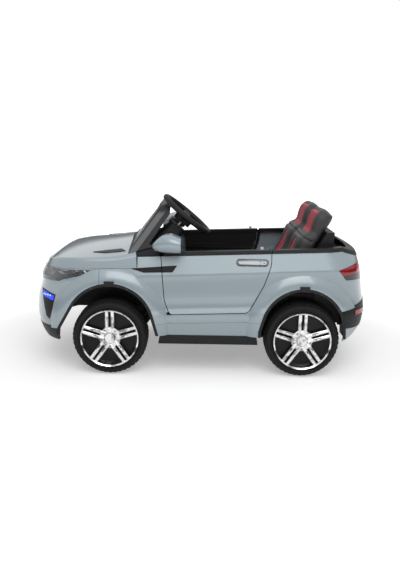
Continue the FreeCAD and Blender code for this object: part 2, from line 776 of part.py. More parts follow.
def below_belt(front_x, rise):
    """Everything under the belt line moved up by a rise, on the left."""
    points = belt_points(front_x, rise) + [(REAR_X + OVERRUN, 0), (front_x, 0)]
    return side_prism(flat_face(points, side), -WIDE, WIDE)


def fender_vent_region(grow):
    """The side view region of the fender vent, through the body side."""
    points = []
    for along, up in FENDER_VENT_SHARES:
        x = FENDER_VENT_X[0] + along * (FENDER_VENT_X[1] - FENDER_VENT_X[0])
        points.append((x, FENDER_VENT_Z[0] + up * (FENDER_VENT_Z[1] - FENDER_VENT_Z[0])))
    return side_prism(offset_face(flat_face(points, side), grow), -WIDE, 0)


def vent_recess():
    """The shallow seat for the fender vent in the skin."""
    return layer(fender_vent_region(0), -VENT_PROUD, VENT_PROUD + VENT_DEPTH)


def make_fender_vent():
    """Fender vent: the black blade ahead of the door seam."""
    vent = layer(fender_vent_region(-SEAT_GAP), -VENT_PROUD / 2, VENT_PROUD / 2 + VENT_DEPTH - SEAT_GAP)
    return vent.cut(door_region(DOOR_GAP / 2))


def handle_region(grow):
    """The side view region of the door handle."""
    corners = [
        (HANDLE_X[0], HANDLE_Z[0]), (HANDLE_X[1], HANDLE_Z[0]), (HANDLE_X[1], HANDLE_Z[1]),
        (HANDLE_X[0], HANDLE_Z[1]),
    ]
    radius = (HANDLE_Z[1] - HANDLE_Z[0]) / 2 - HANDLE_BORDER
    face = offset_face(rounded_face(corners, [radius + HANDLE_BORDER / 2] * 4, side), grow)
    return side_prism(face, -WIDE, 0)


def hinge_point(z, extra):
    """A point of the left door's hinge line at a height, set further back by an extra."""
    lean = (DOOR_SHARES[1][0] - DOOR_SHARES[0][0]) * DOOR_LENGTH
    lean = lean / ((DOOR_SHARES[1][1] - DOOR_SHARES[0][1]) * DOOR_HEIGHT)
    top_z = DOOR_FOOT_Z + DOOR_SHARES[0][1] * DOOR_HEIGHT
    return Vector(DOOR_FRONT_X + (z - top_z) * lean + HINGE_SET_BACK + extra, -HALF_WIDTH + HINGE_INSET, z)


HINGE_AXIS = (hinge_point(HINGE_HEIGHTS[1], 0) - hinge_point(HINGE_HEIGHTS[0], 0)).normalize()


def make_door():
    """Door: the outer skin with handle, vent seat and hinge lugs."""
    region = door_region(-DOOR_GAP / 2).common(below_belt(FRONT_X, 0))
    door = layer(region, 0, WALL).cut(vent_recess())
    recess = layer(handle_region(0), -VENT_PROUD, VENT_PROUD + HANDLE_RECESS)
    bar = layer(handle_region(-HANDLE_BORDER), -HANDLE_PROUD, HANDLE_PROUD + WALL)
    door = door.cut(recess).fuse(bar)
    for height in HINGE_HEIGHTS:
        foot = hinge_point(height, 0) + HINGE_AXIS * SEAT_GAP
        head = foot + HINGE_AXIS * HINGE_EYE_HEIGHT
        eye = rod(foot, head, HINGE_EYE)
        web = block(
            (foot.x - HINGE_EYE / 2, foot.x + HINGE_EYE), (-WIDE, foot.y),
            (foot.z + SEAT_GAP, head.z - SEAT_GAP),
        )
        lug = eye.fuse(web.common(surface(VENT_DEPTH + SEAT_GAP)))
        bore = rod(foot - HINGE_AXIS * OVERRUN, head + HINGE_AXIS * OVERRUN, HINGE_PIN + RUNNING_GAP)
        door = door.fuse(lug.cut(bore))
    return door.removeSplitter()


def make_door_vent():
    """The part of the fender vent behind the seam, on the door."""
    vent = layer(fender_vent_region(-SEAT_GAP), -VENT_PROUD / 2, VENT_PROUD / 2 + VENT_DEPTH - SEAT_GAP)
    return vent.common(door_region(-DOOR_GAP / 2))


def behind_hinge(set_back):
    """Everything behind the left door's hinge line by a set-back."""
    low, high = hinge_point(0, set_back - HINGE_SET_BACK), hinge_point(TALL, set_back - HINGE_SET_BACK)
    points = [(low.x, low.z), (REAR_X, low.z), (REAR_X, high.z), (high.x, high.z)]
    return side_prism(flat_face(points, side), -WIDE, 0)


def make_door_liner():
    """Door liner: the inner panel with an armrest and a pocket, behind the hinge."""
    region = door_region(-LINER_EDGE).common(below_belt(FRONT_X, 0)).common(behind_hinge(LINER_FRONT_SET))
    panel = layer(region, WALL + SEAT_GAP, LINER_THICK)
    pocket_points = [
        (POCKET_X[0], POCKET_Z[0]), (POCKET_X[1], POCKET_Z[0]), (POCKET_X[1], POCKET_Z[1]),
        (POCKET_X[0], POCKET_Z[1]),
    ]
    pocket_face = rounded_face(pocket_points, [POCKET_DEPTH] * 4, side)
    pocket = layer(side_prism(pocket_face, -WIDE, 0), WALL + LINER_THICK - POCKET_DEPTH, OVERRUN)
    rest = layer(
        region.common(block((FRONT_X, REAR_X), (-WIDE, 0), ARMREST_Z)), WALL + LINER_THICK / 2,
        LINER_THICK / 2 + ARMREST_PROUD,
    )
    return panel.cut(pocket).fuse(rest).removeSplitter()


def make_door_trim():
    """Belt trim on the door's top edge, with a slot that guides the bolt."""
    low = [(x, belt_z(x) + SEAT_GAP) for x in (DOOR_FRONT_X + TRIM_FRONT_SET, DOOR_REAR_X - DOOR_GAP)]
    high = [(x, z + TRIM_HEIGHT) for x, z in reversed(low)]
    radii = [0, 0, TRIM_HEIGHT / 3, TRIM_HEIGHT / 2]
    region = side_prism(rounded_face(low + high, radii, side), -WIDE, 0)
    return layer(region, -TRIM_PROUD, TRIM_PROUD + TRIM_WIDTH).cut(bolt_space())


def bolt_axis_z(x):
    """The height of the bolt's underside on the door trim."""
    return belt_z(x) + TRIM_HEIGHT / 2


def bolt_block(front_x, rear_x, half, low, high):
    """A bar lying along the belt line on the left door's top."""
    centre_y = -HALF_WIDTH + LEVEL_SHARES[7][4] * HALF_WIDTH + BOLT_INSET
    face = flat_face([(front_x, bolt_axis_z(front_x) + low), (rear_x, bolt_axis_z(rear_x) + low),
                      (rear_x, bolt_axis_z(rear_x) + high), (front_x, bolt_axis_z(front_x) + high)], side)
    return side_prism(face, centre_y - half, centre_y + half)


def bolt_space():
    """The slot in the trim in which the bolt slides."""
    ends = (BOLT_X[0] - BOLT_MARGIN, DOOR_REAR_X + OVERRUN)
    return bolt_block(ends[0], ends[1], BOLT_WIDTH / 2 + BOLT_MARGIN, -BOLT_MARGIN, OVERRUN)


def make_bolt():
    """Door bolt: a flat slide with a thumb knob."""
    slide = bolt_block(BOLT_X[0], BOLT_X[1], BOLT_WIDTH / 2, 0, BOLT_HEIGHT)
    knob_x = BOLT_X[0] + BOLT_KNOB
    knob = bolt_block(knob_x, knob_x + BOLT_KNOB, BOLT_WIDTH / 2, BOLT_HEIGHT / 2, BOLT_HEIGHT + BOLT_KNOB)
    return slide.fuse(knob).removeSplitter()


# Body side and rear
def tail_lamp_region(grow):
    """The side view region of the left tail lamp, back to its inner end."""
    points = overhang_points(TAIL_LAMP_SHARES, REAR_X, -1, REAR_OVERHANG)
    face = offset_face(flat_face(points, side), grow)
    return side_prism(face, -WIDE, -TAIL_LAMP_INNER_Y + grow)


def bumper_top_z(x):
    """The height of the rear bumper's top edge."""
    return BUMPER_TOP_Z + BUMPER_RISE_SHARE * x


def bumper_region(low_z, gap):
    """The space of the rear bumper down to a height, behind the rear axle."""
    top = [(x, bumper_top_z(x) - gap) for x in (REAR_AXLE_X, REAR_X + OVERRUN)]
    points = top + [(REAR_X + OVERRUN, low_z), (REAR_AXLE_X, low_z)]
    return side_prism(flat_face(points, side), -WIDE, WIDE)


def make_body_side():
    """Left body side: fender, sill and rear quarter in one moulding with two arches and a door opening."""
    outline = [
        (FENDER_SEAM_X, SILL_Z), (FENDER_SEAM_X, hood_seam_z(FENDER_SEAM_X) - PANEL_GAP),
        (COWL_SEAM_X + PANEL_GAP, hood_seam_z(COWL_SEAM_X) - PANEL_GAP),
    ]
    outline += belt_points(COWL_SEAM_X + PANEL_GAP, 0) + [(REAR_X + OVERRUN, SILL_Z)]
    region = side_prism(flat_face(outline, side), -WIDE, 0)
    body = layer(region, 0, WALL)
    fender = flare(FRONT_AXLE_X, FRONT_ARCH).common(region).cut(door_region(DOOR_GAP / 2))
    body = body.fuse([fender, flare(REAR_AXLE_X, REAR_ARCH).cut(door_region(DOOR_GAP / 2))])
    body = body.cut(door_region(DOOR_GAP / 2)).cut(vent_recess())
    rabbet = door_region(DOOR_GAP / 2)
    rabbet.translate(Vector(-DOOR_RABBET, 0, 0))
    front_half = block((FRONT_X, 0), (-WIDE, 0), (0, TALL))
    body = body.cut(surface(DOOR_LIP).common(rabbet).common(front_half))
    heel_x, heel_z = DOOR_FRONT_X + DOOR_SHARES[2][0] * DOOR_LENGTH, DOOR_FOOT_Z - DOOR_GAP / 2
    heel = (
        (heel_x - HEEL_RELIEF[0], heel_x + HEEL_RELIEF[0]), (-WIDE, 0),
        (heel_z, DOOR_FOOT_Z + HEEL_RELIEF[1]),
    )
    body = body.cut(block(*heel))
    body = body.cut(arch_tool(FRONT_AXLE_X, FRONT_ARCH)).cut(arch_tool(REAR_AXLE_X, REAR_ARCH))
    body = body.cut(bumper_region(0, -PANEL_GAP)).cut(tail_lamp_region(PANEL_GAP))
    return body.cut(block((REAR_SEAM_X, REAR_X + OVERRUN), (-REAR_SEAM_Y, WIDE), (0, TALL))).removeSplitter()


def make_rear_panel():
    """Rear panel between the body sides."""
    face = flat_face(belt_points(REAR_SEAM_X, 0) + [(REAR_X + OVERRUN, SILL_Z), (REAR_SEAM_X, SILL_Z)], side)
    half = REAR_SEAM_Y - PANEL_GAP
    panel = layer(side_prism(face, -half, half), 0, WALL).cut(bumper_region(0, -PANEL_GAP))
    lamp = tail_lamp_region(PANEL_GAP)
    return panel.cut(lamp).cut(mirrored(lamp))


def make_rear_bumper():
    """Rear bumper: the black band round the tail with seats for the reflectors."""
    bumper = layer(bumper_region(DIFFUSER_Z[1], 0), -BUMPER_PROUD, BUMPER_PROUD + BUMPER_THICK)
    seat = reflector_form(PANEL_GAP / 2)
    arch = arch_tool(REAR_AXLE_X, REAR_ARCH)
    return bumper.cut([arch, mirrored(arch), seat, mirrored(seat)])


def reflector_form(grow):
    """The left rear reflector's space in the bumper."""
    points = overhang_points(REFLECTOR_SHARES, REAR_X, -1, REAR_OVERHANG)
    region = side_prism(offset_face(flat_face(points, side), grow), -WIDE, -REAR_SEAM_Y + grow)
    return layer(region, -BUMPER_PROUD - VENT_PROUD + grow, VENT_PROUD + LENS)


def make_diffuser():
    """Rear diffuser: the grey tray under the bumper."""
    arch = arch_tool(REAR_AXLE_X, REAR_ARCH)
    region = block((REAR_AXLE_X, REAR_X + OVERRUN), (-WIDE, WIDE), (DIFFUSER_Z[0], DIFFUSER_Z[1] - PANEL_GAP))
    return layer(region, 0, BUMPER_THICK).cut([arch, mirrored(arch)])


def make_cockpit_rim():
    """Cockpit rim: the black band on the belt behind the doors, with the rear deck."""
    front_x = DOOR_REAR_X + RIM_FRONT_GAP
    high = belt_points(front_x, TRIM_HEIGHT)
    points = belt_points(front_x, SEAT_GAP) + high[::-1]
    rim = layer(side_prism(flat_face(points, side), -WIDE, WIDE), -TRIM_PROUD, TRIM_PROUD + TRIM_WIDTH)
    bolt_end = bolt_block(
        front_x - OVERRUN, front_x + BOLT_TRAVEL, BOLT_WIDTH / 2 + BOLT_MARGIN, -BOLT_MARGIN, OVERRUN,
    )
    rim = rim.cut([bolt_end, mirrored(bolt_end)])
    behind = block((DECK_X, REAR_X + OVERRUN), (-WIDE, WIDE), (DECK_Z, TALL))
    curb = layer(behind.common(below_belt(FRONT_X, TRIM_HEIGHT / 2)), WALL + SEAT_GAP, WALL)
    deck = surface(WALL + SEAT_GAP).common(
        block((DECK_X, REAR_X + OVERRUN), (-WIDE, WIDE), (DECK_Z, DECK_Z + WALL))
    )
    return rim.fuse([curb, deck]).removeSplitter()


def make_sill_skirt():
    """Left sill skirt between the wheel arches."""
    front_x = FRONT_AXLE_X + arch_half(FRONT_AXLE_X, FRONT_ARCH, SILL_Z, 1) + SKIRT_END_GAP
    rear_x = REAR_AXLE_X - arch_half(REAR_AXLE_X, REAR_ARCH, SILL_Z, 0) - SKIRT_END_GAP
    slant = (SILL_Z - LIP_BOTTOM_Z) / 3
    points = [(front_x - slant / 2, LIP_BOTTOM_Z), (rear_x + slant / 2, LIP_BOTTOM_Z),
              (rear_x, SILL_Z - SEAT_GAP), (front_x, SILL_Z - SEAT_GAP)]
    return layer(side_prism(flat_face(points, side), -WIDE, 0), -SKIRT_PROUD, SKIRT_PROUD + SKIRT_THICK)


# Front
def headlamp_region(grow):
    """The side view region of the left headlamp under the hood seam, in to its inner end."""
    low = overhang_points(HEADLAMP_SHARES, FRONT_X, 1, FRONT_OVERHANG)
    nose = (FRONT_X - OVERRUN, low[0][1])
    top = [(FRONT_X - OVERRUN, hood_seam_z(FRONT_X - OVERRUN) - PANEL_GAP)]
    face = offset_face(flat_face([nose] + low + top, side), grow)
    return side_prism(face, -WIDE, -HEADLAMP_INNER_Y + grow)


def fog_region(shares, grow):
    """The side view region of the left fog lamp or its LED bar."""
    points = overhang_points(shares, FRONT_X, 1, FRONT_OVERHANG)
    return side_prism(offset_face(flat_face(points, side), grow), -WIDE, -FOG_INNER_Y + grow)


def nose_opening(half, z_range, grow):
    """A wide opening through the front, such as the grille's."""
    low, high = z_range[0] - grow, z_range[1] + grow
    radius = (high - low) / 4
    reach = half + grow
    corners = [(-reach, high), (-reach + radius, low), (reach - radius, low), (reach, high)]
    face = rounded_face(corners, [radius / 2, radius, radius, radius / 2], front)
    return front_prism(face, FRONT_X - OVERRUN, FRONT_AXLE_X - TYRE_RADIUS)


def lip_points():
    """The top edge of the front lip in side view."""
    side_z = LIP_TOP_Z + LIP_SIDE_RISE
    return [
        (FRONT_X - OVERRUN, LIP_TOP_Z), (FRONT_X + LIP_NOSE, LIP_TOP_Z),
        (FRONT_AXLE_X - FRONT_ARCH, side_z), (FRONT_AXLE_X, side_z),
    ]


def make_front_bumper():
    """Front bumper: the nose under the hood with openings for the lamps, grille and intake."""
    top = seam_points(FENDER_SEAM_X - PANEL_GAP, FRONT_X - OVERRUN, -PANEL_GAP)
    face = flat_face(lip_points()[:3] + [(FENDER_SEAM_X - PANEL_GAP, LIP_TOP_Z + LIP_SIDE_RISE)] + top, side)
    region = side_prism(face, -WIDE, WIDE)
    left_flare = flare(FRONT_AXLE_X, FRONT_ARCH).common(region)
    bumper = layer(region, 0, WALL).fuse([left_flare, mirrored(left_flare)])
    arch, lamp = arch_tool(FRONT_AXLE_X, FRONT_ARCH), headlamp_region(0)
    fog = fog_region(FOG_SHARES, PANEL_GAP)
    bumper = bumper.cut([arch, mirrored(arch), lamp, mirrored(lamp), fog, mirrored(fog)])
    return bumper.cut([nose_opening(GRILLE_HALF, GRILLE_Z, 0), nose_opening(INTAKE_HALF, INTAKE_Z, 0)])


def make_front_lip():
    """Front lip: the black splitter under the bumper."""
    upper = [(x, z - PANEL_GAP) for x, z in lip_points()[:3]]
    points = upper + [(FRONT_AXLE_X - FRONT_ARCH, LIP_BOTTOM_Z), (FRONT_X - OVERRUN, LIP_BOTTOM_Z)]
    lip = layer(side_prism(flat_face(points, side), -WIDE, WIDE), -TRIM_PROUD, TRIM_PROUD + LIP_THICK)
    arch = arch_tool(FRONT_AXLE_X, FRONT_ARCH + SEAT_GAP)
    return lip.cut([arch, mirrored(arch)])


def slotted_panel(half, z_range):
    """A grille panel behind a nose opening, with rows of slots."""
    panel = layer(nose_opening(half, z_range, GRILLE_LAP), WALL + SEAT_GAP, WALL)
    pitch_y = 2 * half / GRILLE_COLUMNS
    pitch_z = (z_range[1] - z_range[0]) / GRILLE_ROWS
    slots = []
    for column in range(GRILLE_COLUMNS):
        for row in range(GRILLE_ROWS):
            y = -half + (column + (1 + row % 2) / 3) * pitch_y
            z = z_range[0] + row * pitch_z
            y_range = (y - pitch_y / 2 + GRILLE_BAR, y + pitch_y / 2)
            if y_range[0] > -half and y_range[1] < half:
                slots.append(
                    block(
                        (FRONT_X - OVERRUN, FRONT_AXLE_X - TYRE_RADIUS), y_range,
                        (z + GRILLE_BAR / 2, z + pitch_z - GRILLE_BAR / 2),
                    )
                )
    return panel.cut(slots)


def make_grille():
    """Upper grille and lower intake panels."""
    return slotted_panel(GRILLE_HALF, GRILLE_Z), slotted_panel(INTAKE_HALF, INTAKE_Z)


def make_headlamp():
    """Left headlamp housing: an open bowl behind the lens with two projectors."""
    bowl = layer(headlamp_region(-PANEL_GAP), LENS + SEAT_GAP, LAMP_DEPTH)
    inside = layer(headlamp_region(-PANEL_GAP - WALL), LENS, LAMP_DEPTH - WALL)
    housing = bowl.cut(inside)
    for along, up, across in PROJECTOR_PLACE_SHARES:
        start = Vector(FRONT_X + along * FRONT_OVERHANG, -across * HALF_WIDTH, up * BELT_HEIGHT)
        tube = rod(start, start + Vector(FRONT_OVERHANG, 0, 0), PROJECTOR_RADIUS)
        housing = housing.fuse(tube.common(surface(LENS + 2 * WALL)).common(bowl))
    return housing.removeSplitter()


def make_headlamp_lens():
    """Left headlamp lens, flush with the body."""
    return layer(headlamp_region(-PANEL_GAP), 0, LENS)


def make_fog_lamp():
    """Left fog lamp bezel with a seat for the LED bar."""
    bezel = layer(fog_region(FOG_SHARES, 0), -FOG_PROUD, FOG_PROUD + FOG_DEPTH)
    return bezel.cut(
        layer(fog_region(FOG_LED_SHARES, SEAT_GAP), -FOG_PROUD - VENT_PROUD, FOG_PROUD + VENT_PROUD + LENS)
    )


def make_fog_led():
    """Left LED bar in the fog lamp bezel."""
    return layer(fog_region(FOG_LED_SHARES, 0), -FOG_PROUD - SEAT_GAP, FOG_PROUD + LENS)


def make_tail_lamp():
    """Left tail lamp housing: an open bowl behind the lens."""
    bowl = layer(tail_lamp_region(0), LENS + SEAT_GAP, LAMP_DEPTH)
    return bowl.cut(layer(tail_lamp_region(-WALL), LENS, LAMP_DEPTH - WALL))


def make_tail_lens():
    """Left tail lamp lens, flush with the body."""
    return layer(tail_lamp_region(0), 0, LENS)


# Windscreen and mirrors
def screen_panel(set_back, thick):
    """A bowed, leaning sheet behind the screen's front face by a set-back."""
    bow = Vector(SCREEN_BASE_X - SCREEN_BASE_BOW, 0, SCREEN_BASE_Z)
    ends = [Vector(SCREEN_BASE_X, reach, SCREEN_BASE_Z) for reach in (-WIDE, WIDE)]
    low = Part.Arc(ends[0], bow, ends[1]).toShape()
    top_z = SCREEN_TOP_Z + SCREEN_CORNER
    top_x = SCREEN_TOP_X + (SCREEN_TOP_X - SCREEN_BASE_X) * SCREEN_CORNER / (SCREEN_TOP_Z - SCREEN_BASE_Z)
    high = Part.Arc(
        Vector(top_x, -WIDE, top_z), Vector(top_x - SCREEN_TOP_BOW, 0, top_z), Vector(top_x, WIDE, top_z),
    ).toShape()
    slope = Vector(SCREEN_TOP_X - SCREEN_BASE_X, 0, SCREEN_TOP_Z - SCREEN_BASE_Z).normalize()
    inward = Vector(slope.z, 0, -slope.x)
    sheet = Part.makeRuledSurface(low, high)
    sheet.translate(inward * set_back)
    return sheet.extrude(inward * thick)


def screen_half(z):
    """Half the windscreen's width at a height."""
    return SCREEN_BASE_HALF - SCREEN_LEAN_SHARE * (z - SCREEN_BASE_Z)


def screen_outline(border):
    """The front view of the windscreen inside a border."""
    low_z = SCREEN_BASE_Z + border
    low_half = screen_half(low_z) - border
    corners = [
        (-low_half, low_z), (low_half, low_z), (SCREEN_TOP_HALF - border, SCREEN_TOP_Z - border),
        (border - SCREEN_TOP_HALF, SCREEN_TOP_Z - border),
    ]
    foot = max(0, border)
    face = rounded_face(corners, [foot, foot, SCREEN_CORNER - border, SCREEN_CORNER - border], front)
    return front_prism(face, FRONT_X, REAR_X)


def make_screen_frame():
    """Windscreen frame standing on the hood, with the sail panels beside it."""
    frame = screen_panel(0, FRAME_THICK).common(screen_outline(0))
    frame = frame.cut(screen_outline(FRAME_BORDER).cut(hood_form(-FRAME_FOOT)))
    rim = screen_panel(0, SCREEN_RIM_DEPTH).common(screen_outline(0)).cut(screen_outline(SCREEN_RIM_WALL))
    bend_x = SCREEN_TOP_X + SCREEN_RIM_REACH[1]
    behind = [
        (SCREEN_BASE_X + SCREEN_RIM_REACH[0], SCREEN_BASE_Z), (REAR_X, SCREEN_BASE_Z),
        (REAR_X, SCREEN_TOP_Z), (bend_x, SCREEN_TOP_Z), (bend_x, SCREEN_RIM_BEND_Z),
    ]
    hand_room = on_column(Part.makeTorus(RIM_RADIUS, RIM_TUBE + SCREEN_HAND_ROOM))
    rim = rim.cut([side_prism(flat_face(behind, side), -WIDE, WIDE), hand_room])
    sail_foot = belt_z(SAIL_X[0])
    points = [
        (SAIL_X[0], sail_foot), (SAIL_X[1], sail_foot), (SAIL_TOP_X[1], sail_foot + SAIL_HEIGHT),
        (SAIL_TOP_X[0], sail_foot + SAIL_HEIGHT),
    ]
    outer_y = -screen_half(sail_foot)
    sail = side_prism(
        rounded_face(points, [0, SAIL_THICK, SAIL_THICK, 0], side), outer_y, outer_y + SAIL_THICK,
    )
    sail.rotate(Vector(0, outer_y, sail_foot), Vector(1, 0, 0), -SAIL_LEAN_DEG)
    frame = frame.fuse([rim, sail, mirrored(sail)])
    return frame.cut(hood_form(-SEAT_GAP)).cut(below_belt(FRONT_X, SEAT_GAP)).removeSplitter()


def make_windscreen():
    """Windscreen pane seated in the frame."""
    pane = screen_panel((FRAME_THICK - GLASS_THICK) / 2, GLASS_THICK)
    return pane.common(screen_outline(FRAME_BORDER + SEAT_GAP)).cut(hood_form(-FRAME_FOOT - SEAT_GAP))


def mirror_section(share, half_share, low_share, high_share):
    """One section of the mirror housing: a rounded box across the car."""
    x = MIRROR_X[0] + share * (MIRROR_X[1] - MIRROR_X[0])
    tall = MIRROR_Z[1] - MIRROR_Z[0]
    low, high = MIRROR_Z[0] + low_share * tall, MIRROR_Z[0] + high_share * tall
    half = half_share * MIRROR_HALF
    corners = [
        (-MIRROR_Y - half, low), (-MIRROR_Y + half, low), (-MIRROR_Y + half, high),
        (-MIRROR_Y - half, high),
    ]
    radius = MIRROR_CORNER_SHARE * min(high - low, 2 * half)
    face = rounded_face(corners, [radius] * 4, front)
    face.translate(Vector(x, 0, 0))
    return face


def mirror_glass_face(inset):
    """The mirror glass outline at the housing's rear."""
    return offset_face(mirror_section(*MIRROR_SHARES[-1]), -MIRROR_BORDER - inset)


def make_mirror():
    """Left mirror housing on its foot, open at the rear for the glass."""
    housing = Part.makeLoft([mirror_section(*shares).OuterWire for shares in MIRROR_SHARES], True, False)
    seat = mirror_glass_face(0).extrude(Vector(-MIRROR_GLASS - SEAT_GAP, 0, 0))
    sail_foot = belt_z(SAIL_X[0])
    outer_y = -screen_half(sail_foot) - SEAT_GAP
    foot = block(MIRROR_FOOT_X, (-MIRROR_Y, outer_y + OVERRUN), MIRROR_FOOT_Z)
    keep = side_prism(
        flat_face([(FRONT_X, 0), (REAR_X, 0), (REAR_X, TALL), (FRONT_X, TALL)], side), -WIDE, outer_y,
    )
    keep.rotate(Vector(0, outer_y, sail_foot), Vector(1, 0, 0), -SAIL_LEAN_DEG)
    return housing.cut(seat).fuse(foot.common(keep)).removeSplitter()


def make_mirror_glass():
    """Left mirror glass."""
    return mirror_glass_face(SEAT_GAP).extrude(Vector(-MIRROR_GLASS, 0, 0))


# Wheels, drawn with the axle along Y and the outer face at the left
def ring_solid(points, axle_x):
    """A solid turned about an axle from points of radius and place along it."""
    corners = [Vector(axle_x + radius, place, AXLE_Z) for radius, place in points]
    face = Part.Face(Part.makePolygon(corners + corners[:1]))
    return face.revolve(Vector(axle_x, 0, AXLE_Z), Vector(0, 1, 0), 360)


def make_tyre(axle_x):
    """Tyre with round shoulders and bulged sidewalls."""
    outer_y, inner_y = -WHEEL_FACE_Y, -WHEEL_INNER_Y
    shoulder = TYRE_SHOULDER
    corners = [
        (axle_x + TYRE_BEAD, outer_y + shoulder / 3), (axle_x + TYRE_RADIUS, outer_y),
        (axle_x + TYRE_RADIUS, inner_y), (axle_x + TYRE_BEAD, inner_y - shoulder / 3),
    ]
    face = rounded_face(corners, [0, shoulder, shoulder, 0], plan)
    face.translate(Vector(0, 0, AXLE_Z))
    return face.revolve(Vector(axle_x, 0, AXLE_Z), Vector(0, 1, 0), 360)


def make_wheel_core(axle_x, hub_inner_y):
    """Wheel core: the black barrel with its dished web and hub."""
    outer, inner = -WHEEL_FACE_Y + TYRE_SHOULDER / 3, -WHEEL_INNER_Y - TYRE_SHOULDER / 3
    rim = TYRE_BEAD - SEAT_GAP
    dish = -WHEEL_FACE_Y + CORE_DISH
    bore = AXLE_RADIUS + RUNNING_GAP
    return ring_solid([
        (bore, dish), (rim - CORE_WALL, dish), (
            rim - CORE_WALL, outer + RING_DEPTH,
        ), (rim, outer + RING_DEPTH),
        (rim, inner), (rim - CORE_WALL, inner), (
            rim - CORE_WALL, dish + CORE_WALL,
        ), (CORE_HUB, dish + CORE_WALL),
        (CORE_HUB, hub_inner_y), (bore, hub_inner_y),
    ], axle_x)


def make_spoke_cover(axle_x):
    """Spoke cover: chrome ring, five double spokes, hub with lug seats and a round cap."""
    face_y = -WHEEL_FACE_Y
    dish = face_y + CORE_DISH - SEAT_GAP
    lip = face_y + TYRE_SHOULDER / 3 - 3 * SEAT_GAP
    step = face_y + TYRE_SHOULDER / 3 + RING_DEPTH - SEAT_GAP
    sleeve = TYRE_BEAD - 2 * SEAT_GAP
    ring = ring_solid([
        (RING_RADIUS, lip), (
            RING_RADIUS - RING_PROUD, face_y - RING_PROUD,
        ), (RING_RADIUS - RING_WIDTH, face_y),
        (
            TYRE_BEAD - 2 * CORE_WALL, dish,
        ), (sleeve - CORE_WALL, dish), (sleeve - CORE_WALL, step), (sleeve, step), (sleeve, lip),
    ], axle_x)
    spokes = []
    reach = TYRE_BEAD - CORE_WALL
    for pair in range(SPOKE_PAIRS):
        for hand in (-1, 1):
            spokes.append(spoke(axle_x, reach, hand * SPOKE_SPACING, pair * 360 / SPOKE_PAIRS))
    hub_face = face_y + SPOKE_SINK
    hub = ring_solid([
        (0, hub_face - CAP_HEIGHT), (
            CAP_RADIUS - CAP_HEIGHT / 2, hub_face - CAP_HEIGHT,
        ), (CAP_RADIUS, hub_face - CAP_HEIGHT / 3),
        (CAP_RADIUS, hub_face), (
            HUB_RADIUS - HUB_THICK / 3, hub_face,
        ), (HUB_RADIUS, hub_face + HUB_THICK / 3), (HUB_RADIUS, dish), (0, dish),
    ], axle_x)
    for lug in range(SPOKE_PAIRS):
        angle = math.radians((lug + 0.5) * 360 / SPOKE_PAIRS)
        centre = Vector(
            axle_x + LUG_CIRCLE * math.sin(angle), hub_face, AXLE_Z + LUG_CIRCLE * math.cos(angle),
        )
        hub = hub.cut(rod(centre - Vector(0, OVERRUN, 0), centre + Vector(0, HUB_THICK / 2, 0), LUG_RADIUS))
    end_space = rod(
        Vector(axle_x, -AXLE_END_Y - AXLE_END_GAP, AXLE_Z), Vector(axle_x, 0, AXLE_Z),
        AXLE_RADIUS + AXLE_END_GAP,
    )
    return ring.fuse(spokes + [hub]).cut(end_space).removeSplitter()


def spoke(axle_x, reach, across, turn_deg):
    """One tapered bar of a double spoke, sloping in to the hub."""
    face_y = -WHEEL_FACE_Y
    wires = []
    for up, half, out in (
        (0, SPOKE_WIDTH / 2, face_y + SPOKE_SINK),
        (reach, SPOKE_TIP_SHARE * SPOKE_WIDTH / 2, face_y + RING_PROUD / 2),
    ):
        ridge = half * SPOKE_TIP_SHARE / 2
        corners = [
            Vector(
                across - half, out + SPOKE_THICK, up,
            ), Vector(across - half, out + ridge, up), Vector(across - ridge, out, up),
            Vector(across + ridge, out, up), Vector(across + half, out + ridge, up), Vector(
                across + half, out + SPOKE_THICK, up,
            ),
        ]
        wires.append(Part.makePolygon(corners + corners[:1]))
    bar = Part.makeLoft(wires, True, True)
    bar.rotate(Vector(0, 0, 0), Vector(0, 1, 0), turn_deg)
    bar.translate(Vector(axle_x, 0, AXLE_Z))
    return bar


# Steering
def on_column(shape):
    """Move a shape drawn about the steering wheel's own axis to its place."""
    shape = shape.copy()
    shape.rotate(Vector(0, 0, 0), Vector(0, 1, 0), COLUMN_TILT_DEG)
    shape.translate(STEERING_CENTRE)
    return shape


def rounded_box(size, corner, low_z):
    """An upright block with round vertical edges."""
    half_x, half_y, height = size[0] / 2, size[1] / 2, size[2]
    corners = [(-half_x, -half_y), (half_x, -half_y), (half_x, half_y), (-half_x, half_y)]
    return plan_prism(rounded_face(corners, [corner] * 4, plan), low_z, low_z + height)


def make_steering_wheel():
    """Steering wheel: round rim, three spokes and a padded hub with the horn's seat."""
    rim = Part.makeTorus(RIM_RADIUS, RIM_TUBE)
    hub_width, hub_depth, hub_height = STEERING_HUB
    hub = rounded_box(
        (hub_depth, hub_width, hub_height), STEERING_HUB_CORNER, -STEERING_DISH - hub_height / 2,
    )
    bar_width, bar_thick = SPOKE_BAR
    wheel = rim.fuse(hub)
    for turn in (0, 90, -90):
        wires = []
        for out, low in ((hub_depth / 4, -STEERING_DISH), (RIM_RADIUS, 0)):
            half, under, over = bar_width / 2, low - bar_thick / 2, low + bar_thick / 2
            corners = [
                Vector(out, -half, under), Vector(out, half, under), Vector(out, half, over), Vector(out, -half, over),
            ]
            wires.append(Part.makePolygon(corners + corners[:1]))
        bar = Part.makeLoft(wires, True, True)
        bar.rotate(Vector(0, 0, 0), Vector(0, 0, 1), turn)
        wheel = wheel.fuse(bar)
    hub_top = -STEERING_DISH + hub_height / 2
    well = rod(Vector(0, 0, hub_top - HORN_SINK), Vector(0, 0, hub_top + OVERRUN), HORN_RADIUS + BUTTON_GAP)
    socket = rod(Vector(0, 0, -OVERRUN), Vector(0, 0, -STEERING_DISH), COLUMN_RADIUS)
    return on_column(wheel.cut([well, socket]).removeSplitter())


